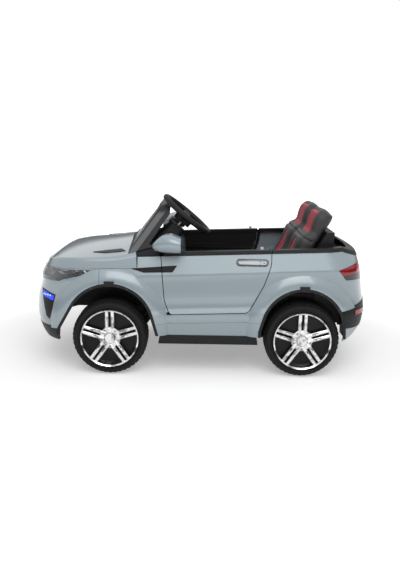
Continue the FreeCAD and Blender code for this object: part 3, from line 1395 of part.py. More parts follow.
def make_horn_button():
    """Horn button in the steering wheel hub."""
    hub_top = -STEERING_DISH + STEERING_HUB[2] / 2
    low = hub_top - HORN_SINK + HORN_TRAVEL + SEAT_GAP
    cap = rod(Vector(0, 0, low), Vector(0, 0, hub_top + HORN_PROUD), HORN_RADIUS)
    edges = [edge for edge in cap.Edges if edge.BoundBox.ZMin > hub_top]
    return on_column(cap.makeFillet(HORN_PROUD / 2, edges))


def make_column():
    """Steering column: a steel rod with a crank and a pin at its foot."""
    shaft = rod(
        Vector(0, 0, -STEERING_DISH - COLUMN_LENGTH), Vector(0, 0, -STEERING_DISH - SEAT_GAP),
        COLUMN_RADIUS,
    )
    foot = Vector(0, 0, -STEERING_DISH - COLUMN_LENGTH)
    turn = foot - Vector(CRANK_LENGTH, 0, 0)
    crank = rod(foot, turn, COLUMN_RADIUS).fuse(
        [Part.makeSphere(COLUMN_RADIUS, foot), Part.makeSphere(COLUMN_RADIUS, turn)]
    )
    pin = rod(turn, turn - Vector(0, 0, CRANK_PIN), TIE_PIN_RADIUS)
    return on_column(shaft.fuse([crank, pin]).removeSplitter())


def column_point(down, ahead):
    """A point down the column from the steering wheel, and ahead of its axis."""
    forward = Vector(-COLUMN_AXIS.z, 0, COLUMN_AXIS.x)
    return STEERING_CENTRE - COLUMN_AXIS * down + forward * ahead


TIE_POINT = column_point(STEERING_DISH + COLUMN_LENGTH + CRANK_PIN - TIE_TAB_THICK, CRANK_LENGTH)
ARM_Z = AXLE_Z + KNUCKLE_HALF_HEIGHT + EYE_GAP + EYE_HEIGHT + STEER_ARM_GAP
TIE_ROD_Z = ARM_Z + STEER_ARM_THICK + SEAT_GAP


def make_tie_rod():
    """Tie rod: a flat bar with slotted ends and a slotted tab for the column's pin."""
    rod_x = FRONT_AXLE_X - STEER_ARM
    half_length = KING_PIN_Y + TIE_ROD_WIDTH / 2
    bar = rounded_box((TIE_ROD_WIDTH, 2 * half_length, TIE_ROD_THICK), TIE_ROD_WIDTH / 3, TIE_ROD_Z)
    bar.translate(Vector(rod_x, 0, 0))
    for hand in (-1, 1):
        slot_size = (2 * TIE_PIN_RADIUS + TIE_SLOT_LENGTH, 2 * (TIE_PIN_RADIUS + TIE_SLOT_GAP), OVERRUN)
        slot = rounded_box(slot_size, TIE_PIN_RADIUS + TIE_SLOT_GAP - SEAT_GAP, TIE_ROD_Z - OVERRUN / 2)
        slot.translate(Vector(rod_x + TIE_SLOT_LENGTH / 4, hand * KING_PIN_Y, 0))
        bar = bar.cut(slot)
    tab = rounded_box((TIE_TAB_LENGTH, TIE_TAB, TIE_TAB_THICK), TIE_TAB_THICK, 0)
    opening_size = (2 * (TIE_PIN_RADIUS + TIE_SLOT_LENGTH), 2 * (TIE_PIN_RADIUS + TIE_SLOT_GAP), OVERRUN)
    opening = rounded_box(opening_size, TIE_PIN_RADIUS, -OVERRUN / 2)
    tab = tab.cut(opening)
    tab.rotate(Vector(0, 0, 0), Vector(0, 1, 0), COLUMN_TILT_DEG)
    tab.translate(TIE_POINT + Vector(COLUMN_AXIS.z, 0, -COLUMN_AXIS.x) * TIE_SLOT_LENGTH / 2)
    forward = Vector(-COLUMN_AXIS.z, 0, COLUMN_AXIS.x)
    end = TIE_POINT + forward * (TIE_TAB_LENGTH - TIE_SLOT_LENGTH) / 2
    heel, crest = end - forward * TIE_TAB_THICK, end + COLUMN_AXIS * TIE_TAB_THICK
    foot = [(rod_x - TIE_ROD_WIDTH / 2, TIE_ROD_Z), (rod_x + TIE_ROD_WIDTH / 2, TIE_ROD_Z)]
    riser = flat_face(foot + [(heel.x, heel.z), (crest.x, crest.z)], side)
    post = side_prism(riser, STEERING_CENTRE.y - TIE_TAB / 2, STEERING_CENTRE.y + TIE_TAB / 2)
    return bar.fuse([tab, post]).removeSplitter()


def make_knuckle():
    """Left knuckle: king pin, block, stub axle and steering arm with its pin."""
    pin_foot = Vector(
        FRONT_AXLE_X, -KING_PIN_Y, AXLE_Z - KNUCKLE_HALF_HEIGHT - EYE_GAP - EYE_HEIGHT - STEER_ARM_GAP,
    )
    pin_head = Vector(FRONT_AXLE_X, -KING_PIN_Y, ARM_Z)
    king_pin = rod(pin_foot, pin_head, KING_PIN_RADIUS)
    middle = Vector(FRONT_AXLE_X, -KING_PIN_Y, AXLE_Z)
    body = rod(middle - side(0, KNUCKLE_HALF_HEIGHT), middle + side(0, KNUCKLE_HALF_HEIGHT), KNUCKLE_BLOCK)
    stub = rod(middle, Vector(FRONT_AXLE_X, -AXLE_END_Y, AXLE_Z), AXLE_RADIUS)
    arm = rounded_box(
        (STEER_ARM + STEER_ARM_WIDTH, STEER_ARM_WIDTH, STEER_ARM_THICK), STEER_ARM_WIDTH / 2 - SEAT_GAP,
        ARM_Z,
    )
    arm.translate(Vector(FRONT_AXLE_X - STEER_ARM / 2, -KING_PIN_Y, 0))
    ball = Vector(FRONT_AXLE_X - STEER_ARM, -KING_PIN_Y, ARM_Z)
    pin = rod(ball, ball + side(0, STEER_ARM_THICK + SEAT_GAP + 2 * TIE_ROD_THICK), TIE_PIN_RADIUS)
    return king_pin.fuse([body, stub, arm, pin]).removeSplitter()


def make_axle_beam():
    """Front axle beam: a bar under the rails with forked eyes for the king pins."""
    eye_low = AXLE_Z - KNUCKLE_HALF_HEIGHT - EYE_GAP - EYE_HEIGHT
    eye_high = AXLE_Z + KNUCKLE_HALF_HEIGHT + EYE_GAP
    x_range = (FRONT_AXLE_X - AXLE_BEAM_HALF, FRONT_AXLE_X + AXLE_BEAM_HALF)
    inner = KING_PIN_Y - AXLE_BEAM_PLATE + EYE_RADIUS / 2
    pieces = []
    for hand in (-1, 1):
        for low in (eye_low, eye_high):
            foot = Vector(FRONT_AXLE_X, hand * KING_PIN_Y, low)
            y_range = sorted((hand * (inner - EYE_RADIUS), hand * KING_PIN_Y))
            pieces.append(rod(foot, foot + side(0, EYE_HEIGHT), EYE_RADIUS))
            pieces.append(block(x_range, y_range, (low, low + EYE_HEIGHT)))
        post = sorted((hand * RAIL_Y[0], hand * RAIL_Y[1]))
        pieces.append(block(x_range, post, (eye_high, RAIL_Z[0] - SEAT_GAP)))
    bar = block(x_range, (-inner, inner), (eye_low, eye_high + EYE_HEIGHT))
    bores = []
    for hand in (-1, 1):
        bores.append(
            rod(
                Vector(FRONT_AXLE_X, hand * KING_PIN_Y, 0), Vector(FRONT_AXLE_X, hand * KING_PIN_Y, TALL),
                KING_PIN_RADIUS + RUNNING_GAP,
            )
        )
    return bar.fuse(pieces).cut(bores).removeSplitter()


# Chassis tub and the drive
def make_chassis():
    """Chassis tub: ribbed floor, toe board, seat box, front rails, axle hangers and hinge arms."""
    floor_z = (FLOOR_Z, FLOOR_Z + FLOOR_THICK)
    toe = (TOE_X, TOE_X + TUB_WALL)
    box_front = (SEAT_BOX_X[0], SEAT_BOX_X[0] + TUB_WALL)
    pieces = [
        block((TOE_X, SEAT_BOX_X[1]), (-TUB_HALF, TUB_HALF), floor_z),
        block((SEAT_BOX_X[1] - TUB_WALL, FLOOR_REAR_X), (-SEAT_BOX_HALF, SEAT_BOX_HALF), floor_z),
        block(toe, (-TOE_HALF, TOE_HALF), (FLOOR_Z, TOE_TOP_Z)),
        block(box_front, (-TUB_HALF, TUB_HALF), (FLOOR_Z, SEAT_BOX_Z)),
        block((SEAT_BOX_X[0], SEAT_BOX_X[1]), (-TUB_HALF, TUB_HALF), (SEAT_BOX_Z - TUB_WALL, SEAT_BOX_Z)),
        block(
            (SEAT_BOX_X[0], SEAT_BOX_REAR_X), (-SEAT_BOX_HALF, SEAT_BOX_HALF),
            (SEAT_BOX_Z - TUB_WALL, SEAT_BOX_Z),
        ),
        block(
            (SEAT_BOX_REAR_X - TUB_WALL, SEAT_BOX_REAR_X), (-SEAT_BOX_HALF, SEAT_BOX_HALF),
            (SEAT_BOX_FOOT_Z, SEAT_BOX_Z),
        ),
    ]
    for rib in range(FLOOR_RIBS):
        x = TOE_X + (rib + 1) * (SEAT_BOX_X[0] - TOE_X) / (FLOOR_RIBS + 1)
        if abs(x - PEDAL_HINGE[0]) > PEDAL_LENGTH / 2:
            pieces.append(
                block(
                    (x, x + 2 * FLOOR_RIB), (-TUB_HALF + OVERRUN, TUB_HALF - OVERRUN),
                    (FLOOR_Z, floor_z[1] + FLOOR_RIB),
                )
            )
    flange_end = FLARE_WIDTH + SEAT_GAP
    flange = (FRONT_AXLE_X + FRONT_ARCH + flange_end, REAR_AXLE_X - REAR_ARCH - flange_end)
    sill = surface(WALL + SEAT_GAP).common(
        block(flange, (-WIDE, WIDE), (TUB_FLANGE_Z, TUB_FLANGE_Z + TUB_WALL))
    )
    sill = sill.cut(block((FRONT_X, REAR_X), (-TUB_HALF + TUB_WALL, TUB_HALF - TUB_WALL), (0, TALL)))
    tail = surface(BUMPER_THICK + SEAT_GAP).common(
        block(
            (SEAT_BOX_REAR_X - TUB_WALL, REAR_X), (-SEAT_BOX_HALF, SEAT_BOX_HALF),
            (SEAT_BOX_Z - TUB_WALL, SEAT_BOX_Z),
        )
    )
    nose = surface(WALL + SEAT_GAP).common(
        block(
            (RAIL_FRONT_X - OVERRUN, RAIL_FRONT_X + CROSS_MEMBER),
            (-NOSE_WALL_Y - TUB_WALL, NOSE_WALL_Y + TUB_WALL), (INTAKE_Z[1] + GRILLE_LAP, RAIL_Z[1]),
        )
    )
    pieces += [sill, tail, nose]
    for hand in (-1, 1):
        pieces.append(
            block(
                (TOE_X, SEAT_BOX_X[1]), sorted((hand * (TUB_HALF - TUB_WALL), hand * TUB_HALF)),
                (FLOOR_Z, TUB_SIDE_Z),
            )
        )
        pieces.append(
            block(
                (SEAT_BOX_X[1] - TUB_WALL, SEAT_BOX_REAR_X),
                sorted((hand * (SEAT_BOX_HALF - TUB_WALL), hand * SEAT_BOX_HALF)),
                (SEAT_BOX_FOOT_Z, SEAT_BOX_Z),
            )
        )
        pieces.append(
            block(
                (SEAT_BOX_X[1] - TUB_WALL, SEAT_BOX_X[1]),
                sorted((hand * (SEAT_BOX_HALF - TUB_WALL), hand * TUB_HALF)), (FLOOR_Z, SEAT_BOX_Z),
            )
        )
        pieces.append(
            block((RAIL_FRONT_X, TOE_X + TUB_WALL), sorted((hand * RAIL_Y[0], hand * RAIL_Y[1])), RAIL_Z)
        )
        nose_wall = sorted((hand * NOSE_WALL_Y, hand * (NOSE_WALL_Y + TUB_WALL)))
        pieces.append(block((RAIL_FRONT_X, TOE_X + TUB_WALL), nose_wall, (RAIL_Z[0], NOSE_WALL_TOP_Z)))
        hanger = (REAR_AXLE_X - HANGER_HALF, REAR_AXLE_X + HANGER_HALF)
        pieces.append(
            block(
                hanger, sorted((hand * HANGER_Y[0], hand * HANGER_Y[1])),
                (AXLE_Z - HANGER_FOOT, SEAT_BOX_Z),
            )
        )
        pieces.append(
            block(
                (FLOOR_REAR_X - TUB_WALL, FLOOR_REAR_X),
                sorted((hand * (SEAT_BOX_HALF - TUB_WALL), hand * SEAT_BOX_HALF)),
                (FLOOR_Z, SEAT_BOX_FOOT_Z + TUB_WALL),
            )
        )
    for height in HINGE_HEIGHTS:
        arm = hinge_arm(height)
        pieces += [arm, mirrored(arm)]
    bush = column_point(STEERING_DISH + COLUMN_LENGTH - COLUMN_BUSH_DROP, 0)
    carrier = rod(
        bush - COLUMN_AXIS * COLUMN_BUSH_LENGTH / 2, bush + COLUMN_AXIS * COLUMN_BUSH_LENGTH / 2,
        COLUMN_BUSH,
    )
    web = block(
        (bush.x - COLUMN_BUSH, bush.x + COLUMN_BUSH), (bush.y, -RAIL_Y[1] + TUB_WALL), (RAIL_Z[0], bush.z),
    )
    pieces += [carrier, web] + pedal_brackets()
    tub = pieces[0].fuse(pieces[1:])
    column_bore = rod(bush - COLUMN_AXIS * OVERRUN, bush + COLUMN_AXIS * OVERRUN, COLUMN_RADIUS + RUNNING_GAP)
    axle_bore = rod(
        Vector(REAR_AXLE_X, -WIDE, AXLE_Z), Vector(REAR_AXLE_X, WIDE, AXLE_Z), AXLE_RADIUS + RUNNING_GAP,
    )
    return tub.cut([column_bore, axle_bore]).removeSplitter()


def hinge_arm(height):
    """A hinge arm from the toe board to the left door's hinge line, with its pin."""
    head = hinge_point(height, 0)
    foot = head - HINGE_AXIS * HINGE_ARM
    eye = rod(foot, head, HINGE_EYE)
    pin = rod(foot, head + HINGE_AXIS * (HINGE_EYE_HEIGHT + SEAT_GAP), HINGE_PIN)
    arm = block(
        (TOE_X, head.x), (-TOE_HALF - HINGE_EYE, -TOE_HALF + TUB_WALL),
        (foot.z + SEAT_GAP, head.z - SEAT_GAP),
    )
    reach = block(
        (head.x - HINGE_EYE, head.x + HINGE_EYE / 2), (head.y, -TOE_HALF),
        (foot.z + SEAT_GAP, head.z - SEAT_GAP),
    )
    return eye.fuse([pin, arm, reach])


def pedal_brackets():
    """Two floor brackets that hold the pedal's pin."""
    x, y, z = PEDAL_HINGE
    brackets = []
    for hand in (-1, 1):
        near = hand * (PEDAL_WIDTH / 2 + EYE_GAP)
        y_range = sorted((y + near, y + near + hand * PEDAL_BRACKET))
        foot = [(x - PEDAL_BRACKET_FOOT, FLOOR_Z), (x + PEDAL_BRACKET_FOOT, FLOOR_Z)]
        ear = side_prism(flat_face(foot + [(x + PEDAL_EYE, z), (x - PEDAL_EYE, z)], side), *y_range)
        ear = ear.fuse(rod(Vector(x, y_range[0], z), Vector(x, y_range[1], z), PEDAL_EYE))
        brackets.append(
            ear.cut(rod(Vector(x, y_range[0], z), Vector(x, y_range[1], z), PEDAL_PIN + RUNNING_GAP))
        )
    return brackets


def make_pedal():
    """Foot pedal: a ribbed plate leaning forward on a cross pin."""
    x, y, z = PEDAL_HINGE
    half = PEDAL_WIDTH / 2
    plate = block((-PEDAL_THICK / 2, PEDAL_THICK / 2), (-half, half), (0, PEDAL_LENGTH))
    plate = plate.makeFillet(
        PEDAL_THICK / 3, [edge for edge in plate.Edges if edge.BoundBox.ZMin > PEDAL_LENGTH / 2],
    )
    ribs = []
    for rib in range(PEDAL_RIBS):
        low = PEDAL_LENGTH * (rib + 2) / (PEDAL_RIBS + 2)
        ribs.append(
            block(
                (PEDAL_THICK / 2 - PEDAL_RIB, PEDAL_THICK / 2 + PEDAL_RIB),
                (-half + PEDAL_THICK, half - PEDAL_THICK), (low - 2 * PEDAL_RIB, low - PEDAL_RIB),
            )
        )
    pedal = plate.fuse(ribs)
    pedal = pedal.fuse(rod(Vector(0, -half, 0), Vector(0, half, 0), PEDAL_EYE - EYE_GAP))
    pin_half = half + EYE_GAP + PEDAL_BRACKET
    pedal = pedal.fuse(rod(Vector(0, -pin_half, 0), Vector(0, pin_half, 0), PEDAL_PIN))
    pedal.rotate(Vector(0, 0, 0), Vector(0, 1, 0), -PEDAL_LEAN_DEG)
    pedal.translate(Vector(x, y, z))
    return pedal.removeSplitter()


def make_gear_motor():
    """Left gear motor: a tear-shaped gearbox round the axle with its motor."""
    x_motor, z_motor = REAR_AXLE_X + MOTOR_SET[0], AXLE_Z + MOTOR_SET[1]
    y_in, y_out = -HANGER_Y[1] - SEAT_GAP, -GEARBOX_Y
    wheel_end = rod(Vector(REAR_AXLE_X, y_out, AXLE_Z), Vector(REAR_AXLE_X, y_in, AXLE_Z), GEARBOX_RADIUS)
    motor_end = rod(Vector(x_motor, y_out, z_motor), Vector(x_motor, y_in, z_motor), MOTOR_CASE_RADIUS)
    along = Vector(MOTOR_SET[0], 0, MOTOR_SET[1]).normalize()
    across = Vector(-along.z, 0, along.x)
    start, end = Vector(REAR_AXLE_X, y_out, AXLE_Z), Vector(x_motor, y_out, z_motor)
    corners = [
        start + across * MOTOR_CASE_RADIUS, end + across * MOTOR_CASE_RADIUS,
        end - across * MOTOR_CASE_RADIUS, start - across * MOTOR_CASE_RADIUS,
    ]
    neck = Part.Face(Part.makePolygon(corners + corners[:1])).extrude(Vector(0, y_in - y_out, 0))
    motor = rod(Vector(x_motor, y_in, z_motor), Vector(x_motor, y_in + MOTOR_LENGTH, z_motor), MOTOR_RADIUS)
    bore = rod(Vector(REAR_AXLE_X, -WIDE, AXLE_Z), Vector(REAR_AXLE_X, 0, AXLE_Z), AXLE_RADIUS + SEAT_GAP)
    return wheel_end.fuse([motor_end, neck, motor]).cut(bore).removeSplitter()


def make_rear_axle():
    """Rear axle: one steel rod through both wheels."""
    return rod(Vector(REAR_AXLE_X, -AXLE_END_Y, AXLE_Z), Vector(REAR_AXLE_X, AXLE_END_Y, AXLE_Z), AXLE_RADIUS)


def make_battery():
    """Battery block on the floor of the seat box, with two terminals."""
    length, width, height = BATTERY
    low = FLOOR_Z + FLOOR_THICK + SEAT_GAP
    battery = block((BATTERY_X, BATTERY_X + length), (-width / 2, width / 2), (low, low + height))
    edges = [edge for edge in battery.Edges if edge.BoundBox.ZLength > height / 2]
    battery = battery.makeFillet(WALL, edges)
    size, rise = BATTERY_TERMINAL
    for hand in (-1, 1):
        y = hand * (width / 2 - 2 * size)
        battery = battery.fuse(
            block(
                (BATTERY_X + size, BATTERY_X + 2 * size), (y - size / 2, y + size / 2),
                (low + height - SEAT_GAP, low + height + rise),
            )
        )
    return battery.removeSplitter()


# Dashboard
def dash_points():
    """The side view of the dashboard."""
    return [
        (
            DASH_X[0] + along * (DASH_X[1] - DASH_X[0]), DASH_Z[0] + up * (DASH_Z[1] - DASH_Z[0]),
        ) for along, up in DASH_SHARES
    ]


def dash_frame():
    """The middle of the dashboard's rear face, its outward normal and its downward run."""
    top, foot = (side(*point) for point in (dash_points()[3], dash_points()[4]))
    run = (foot - top).normalize()
    return (top + foot) * 0.5, Vector(-run.z, 0, run.x), run


def make_dashboard():
    """Dashboard with the column cowl and seats for its switches."""
    points = dash_points()
    radii = [0, 0, 0, DASH_CORNER, DASH_CORNER, DASH_CORNER, 0]
    dash = side_prism(rounded_face(points, radii, side), -WIDE, WIDE)
    dash = dash.common(hood_form(DASH_TOP_DROP)).common(surface(DASH_SIDE_GAP)).cut(ahead_of_cowl(PANEL_GAP))
    for hand in (-1, 1):
        y_range = sorted((hand * (HALF_WIDTH - DASH_DOOR_GAP), hand * WIDE))
        dash = dash.cut(block((DOOR_FRONT_X - DOOR_GAP, 0), y_range, (0, TALL)))
    wires = []
    for size, down in ((COWL_TOP, COWL_REACH[0]), (COWL_FOOT, COWL_REACH[1])):
        half_x, half_y = size[1] / 2, size[0] / 2
        corners = [(-half_x, -half_y), (half_x, -half_y), (half_x, half_y), (-half_x, half_y)]
        face = rounded_face(corners, [COWL_CORNER_SHARE * size[1]] * 4, plan)
        face.translate(Vector(0, 0, -down - STEERING_DISH))
        wires.append(face.OuterWire)
    cowl = on_column(Part.makeLoft(wires, True, True)).cut(ahead_of_cowl(PANEL_GAP))
    dash = dash.fuse(cowl)
    bore = rod(STEERING_CENTRE, column_point(COLUMN_LENGTH, 0), COLUMN_RADIUS + RUNNING_GAP)
    centre, normal, run = dash_frame()
    well = rod(centre - normal * BUTTON_SINK, centre + normal * OVERRUN, POWER_BUTTON_RADIUS + BUTTON_GAP)
    well.translate(Vector(0, POWER_BUTTON_Y, 0))
    return dash.cut([bore, well, switch_block(BUTTON_GAP, BUTTON_SINK, OVERRUN)]).removeSplitter()


def make_power_button():
    """Power button in the dashboard."""
    centre, normal, run = dash_frame()
    low = centre - normal * (BUTTON_SINK - BUTTON_TRAVEL - SEAT_GAP)
    button = rod(low, centre + normal * BUTTON_PROUD, POWER_BUTTON_RADIUS)
    button.translate(Vector(0, POWER_BUTTON_Y, 0))
    return button


def switch_block(grow, depth, proud):
    """The drive switch's space across the dashboard's rear face."""
    centre, normal, run = dash_frame()
    width, tall = SWITCH_SIZE
    across = Vector(0, 1, 0)
    middle = centre + across * SWITCH_Y - normal * depth
    half_run, half_across = run * (tall / 2 + grow), across * (width / 2 + grow)
    corners = [
        middle - half_run - half_across, middle + half_run - half_across, middle + half_run + half_across,
        middle - half_run + half_across,
    ]
    return Part.Face(Part.makePolygon(corners + corners[:1])).extrude(normal * (depth + proud))


def make_drive_switch():
    """Drive switch: a rocker that tips forward and back, with a bowed face."""
    centre, normal, run = dash_frame()
    width, tall = SWITCH_SIZE
    middle = centre + Vector(0, SWITCH_Y, 0)
    rocker = rod(middle - Vector(0, width / 2, 0), middle + Vector(0, width / 2, 0), tall / 2 - BUTTON_GAP)
    return rocker.common(switch_block(-BUTTON_GAP, SWITCH_PIN, BUTTON_PROUD + SWITCH_PIN))


# Seat
def back_frame():
    """The foot of the seat back's rear face, its run, its outward normal and its length."""
    foot, top = side(*BACK_FOOT), side(*BACK_TOP)
    run = (top - foot).normalize()
    normal = Vector(-run.z, 0, run.x)
    return foot - normal * BACK_DEPTH, run, normal, (top - foot).Length


def back_pad(stations):
    """A padded form on the left seat back's rear face, lofted through rounded sections."""
    foot, run, normal, length = back_frame()
    wires = []
    for along, wide, deep in stations:
        half, depth = wide * BACK_HALF, deep * BACK_DEPTH
        corners = [(-half, 0), (half, 0), (half, depth), (-half, depth)]
        face = rounded_face(corners, [BACK_CORNER_SHARE * depth] * 4, plan)
        wire = face.OuterWire
        turn = Rotation(Vector(0, 1, 0), normal, run, "ZXY")
        wire.Placement = FreeCAD.Placement(foot + run * along * length - Vector(0, SEAT_Y, 0), turn)
        wires.append(wire)
    return Part.makeLoft(wires, True, False)


def make_seat_back():
    """Left seat back: a pad with a shoulder swell and drawn-in sides, and a round head above the neck."""
    return back_pad(BACK_STATION_SHARES).fuse(back_pad(HEAD_STATION_SHARES)).removeSplitter()


def make_seat_cushion():
    """Seat cushion: a bench pad crowned over each place with a channel between them."""
    low = SEAT_BOX_Z + SEAT_SHELL_TOP + 2 * SEAT_GAP
    front_x, rear_x = SEAT_BASE_X, BACK_FOOT[0] - SHELL_WALL
    wires = []
    mirror_shares = [(-across, up) for across, up in reversed(CUSHION_STATION_SHARES[1:])]
    for across, up in mirror_shares + list(CUSHION_STATION_SHARES):
        height = up * CUSHION_HEIGHT
        corners = [(front_x, low), (rear_x, low), (rear_x, low + height), (front_x, low + height)]
        face = rounded_face(corners, [height / 4, height / 4, height / 4, height / 2], side)
        face.translate(Vector(0, across * CUSHION_HALF, 0))
        wires.append(face.OuterWire)
    return Part.makeLoft(wires, True, True)


def make_seat_shell():
    """Seat shell: the base tray and two hollow wedges that carry the backs."""
    foot, run, normal, length = back_frame()
    low = SEAT_BOX_Z + SEAT_GAP
    base = block((SEAT_BASE_X, SHELL_REAR_X[0]), (-CUSHION_HALF, CUSHION_HALF), (low, low + SEAT_SHELL_TOP))
    rear_line = foot - normal * SEAT_GAP
    front_foot = rear_line + run * ((low - rear_line.z) / run.z)
    front_top = rear_line + run * ((SHELL_TOP_Z - rear_line.z) / run.z)
    outline = [
        (front_foot.x, low), (SHELL_REAR_X[0], low), (SHELL_REAR_X[1], SHELL_TOP_Z),
        (front_top.x, SHELL_TOP_Z),
    ]
    face = flat_face(outline, side)
    shell = base
    for hand in (-1, 1):
        near, far = sorted((hand * (SEAT_Y - SHELL_HALF), hand * (SEAT_Y + SHELL_HALF)))
        wedge = side_prism(face, near, far)
        hollow = side_prism(offset_face(face, -SHELL_WALL), near + SHELL_WALL, far - SHELL_WALL)
        shell = shell.fuse(wedge.cut(hollow))
    return shell.removeSplitter()


def make_all():
    """Build every node."""
    os.makedirs("parts", exist_ok=True)
    both = lambda shape: (shape, mirrored(shape))
    save("hood", make_hood())
    save("front_bumper", make_front_bumper())
    save("front_lip", make_front_lip())
    save("grille", *make_grille())
    save("headlamp_housings", *both(make_headlamp()))
    save("headlamp_lenses", *both(make_headlamp_lens()))
    save("fog_lamps", *both(make_fog_lamp()))
    save("fog_leds", *both(make_fog_led()))
    body_side = make_body_side()
    save("body_side_left", body_side)
    save("body_side_right", mirrored(body_side))
    save("rear_panel", make_rear_panel())
    save("rear_bumper", make_rear_bumper())
    save("rear_diffuser", make_diffuser())
    save("tail_lamps", *both(make_tail_lamp()))
    save("tail_lenses", *both(make_tail_lens()), *both(reflector_form(0)))
    front_liner = make_arch_liner(FRONT_AXLE_X, FRONT_ARCH, FRONT_LINER_DEPTH)
    save("arch_liners", *both(front_liner), *both(make_rear_liner()))
    save("sill_skirts", *both(make_sill_skirt()))
    save("cockpit_rim", make_cockpit_rim())
    hood_vent = hood_vent_form(VENT_DEPTH - SEAT_GAP, 0)
    save("body_vents", *both(hood_vent), *both(make_fender_vent()))
    save("windscreen_frame", make_screen_frame())
    save("windscreen", make_windscreen())
    save("mirror_housings", *both(make_mirror()))
    save("mirror_glasses", *both(make_mirror_glass()))
    save("dashboard", make_dashboard())
    save("power_button", make_power_button())
    save("drive_switch", make_drive_switch())
    save("chassis_tub", make_chassis())
    save("battery", make_battery())
    save("gear_motors", *both(make_gear_motor()))
    save("rear_axle", make_rear_axle())
    save("front_axle_beam", make_axle_beam())
    save("tie_rod", make_tie_rod())
    save("steering_wheel", make_steering_wheel())
    save("steering_column", make_column())
    save("horn_button", make_horn_button())
    save("pedal", make_pedal())
    save("seat_shell", make_seat_shell())
    save("seat_cushion", make_seat_cushion())
    seat_back = make_seat_back()
    parts = {"door": make_door(), "door_bolt": make_bolt(), "knuckle": make_knuckle(), "seat_back": seat_back}
    for name, shape in parts.items():
        save(name + "_left", shape)
        save(name + "_right", mirrored(shape))
    inner = [make_door_liner(), make_door_trim(), make_door_vent()]
    save("door_liner_left", *inner)
    save("door_liner_right", *[mirrored(shape) for shape in inner])
    hubs = {"front": -KING_PIN_Y - EYE_RADIUS - HUB_END_GAP, "rear": -GEARBOX_Y - SEAT_GAP}
    for end, axle_x in (("front", FRONT_AXLE_X), ("rear", REAR_AXLE_X)):
        wheel = {
            "tyre": make_tyre(axle_x), "wheel_core": make_wheel_core(axle_x, hubs[end]),
            "spoke_cover": make_spoke_cover(axle_x),
        }
        for name, shape in wheel.items():
            save(name + "_" + end + "_left", shape)
            save(name + "_" + end + "_right", mirrored(shape))


make_all()
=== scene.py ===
import math

import bmesh
import bpy
import numpy as np
from bpy.props import FloatProperty, FloatVectorProperty, IntProperty, PointerProperty
from mathutils import Matrix, Vector
from mathutils.bvhtree import BVHTree


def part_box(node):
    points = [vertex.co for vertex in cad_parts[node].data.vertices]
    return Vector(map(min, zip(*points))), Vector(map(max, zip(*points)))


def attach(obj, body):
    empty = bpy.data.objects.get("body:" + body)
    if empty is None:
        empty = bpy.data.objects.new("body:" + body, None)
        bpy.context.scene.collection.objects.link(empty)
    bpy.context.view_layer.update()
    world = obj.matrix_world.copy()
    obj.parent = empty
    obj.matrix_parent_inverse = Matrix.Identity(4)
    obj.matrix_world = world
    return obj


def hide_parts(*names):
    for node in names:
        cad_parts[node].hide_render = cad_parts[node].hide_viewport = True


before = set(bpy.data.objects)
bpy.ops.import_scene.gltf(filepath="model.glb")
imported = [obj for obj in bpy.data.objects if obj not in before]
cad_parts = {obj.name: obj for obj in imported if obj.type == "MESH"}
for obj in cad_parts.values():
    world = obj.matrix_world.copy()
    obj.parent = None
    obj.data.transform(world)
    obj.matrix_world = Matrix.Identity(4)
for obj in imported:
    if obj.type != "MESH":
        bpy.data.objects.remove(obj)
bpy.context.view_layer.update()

bl_info = {
    "name": "Ride-on car dresser",
    "version": (1, 0, 0),
    "blender": (4, 5, 0),
    "location": "View3D > Sidebar > Ride-on car",
    "description": "Finishes, tyres, padded seats and trim for an electric ride-on car",
    "category": "Object",
}


def colour(label, words, default):
    """A colour that a user may change."""
    return FloatVectorProperty(
        name=label, description=words, default=default, subtype="COLOR", size=3, min=0, max=1,
    )


def length(label, words, default):
    """A length that a user may change, in metres."""
    return FloatProperty(name=label, description=words, default=default, unit="LENGTH", precision=5)


def whole_number(label, words, default, least, most):
    """A number of pieces that a user may change."""
    return IntProperty(name=label, description=words, default=default, min=least, max=most)


def slant(label, words, degrees):
    """An angle that a user may change."""
    return FloatProperty(name=label, description=words, default=math.radians(degrees), subtype="ANGLE")


def watts(label, words, default):
    """The power of a lamp, which a user may change."""
    return FloatProperty(name=label, description=words, default=default, unit="POWER")


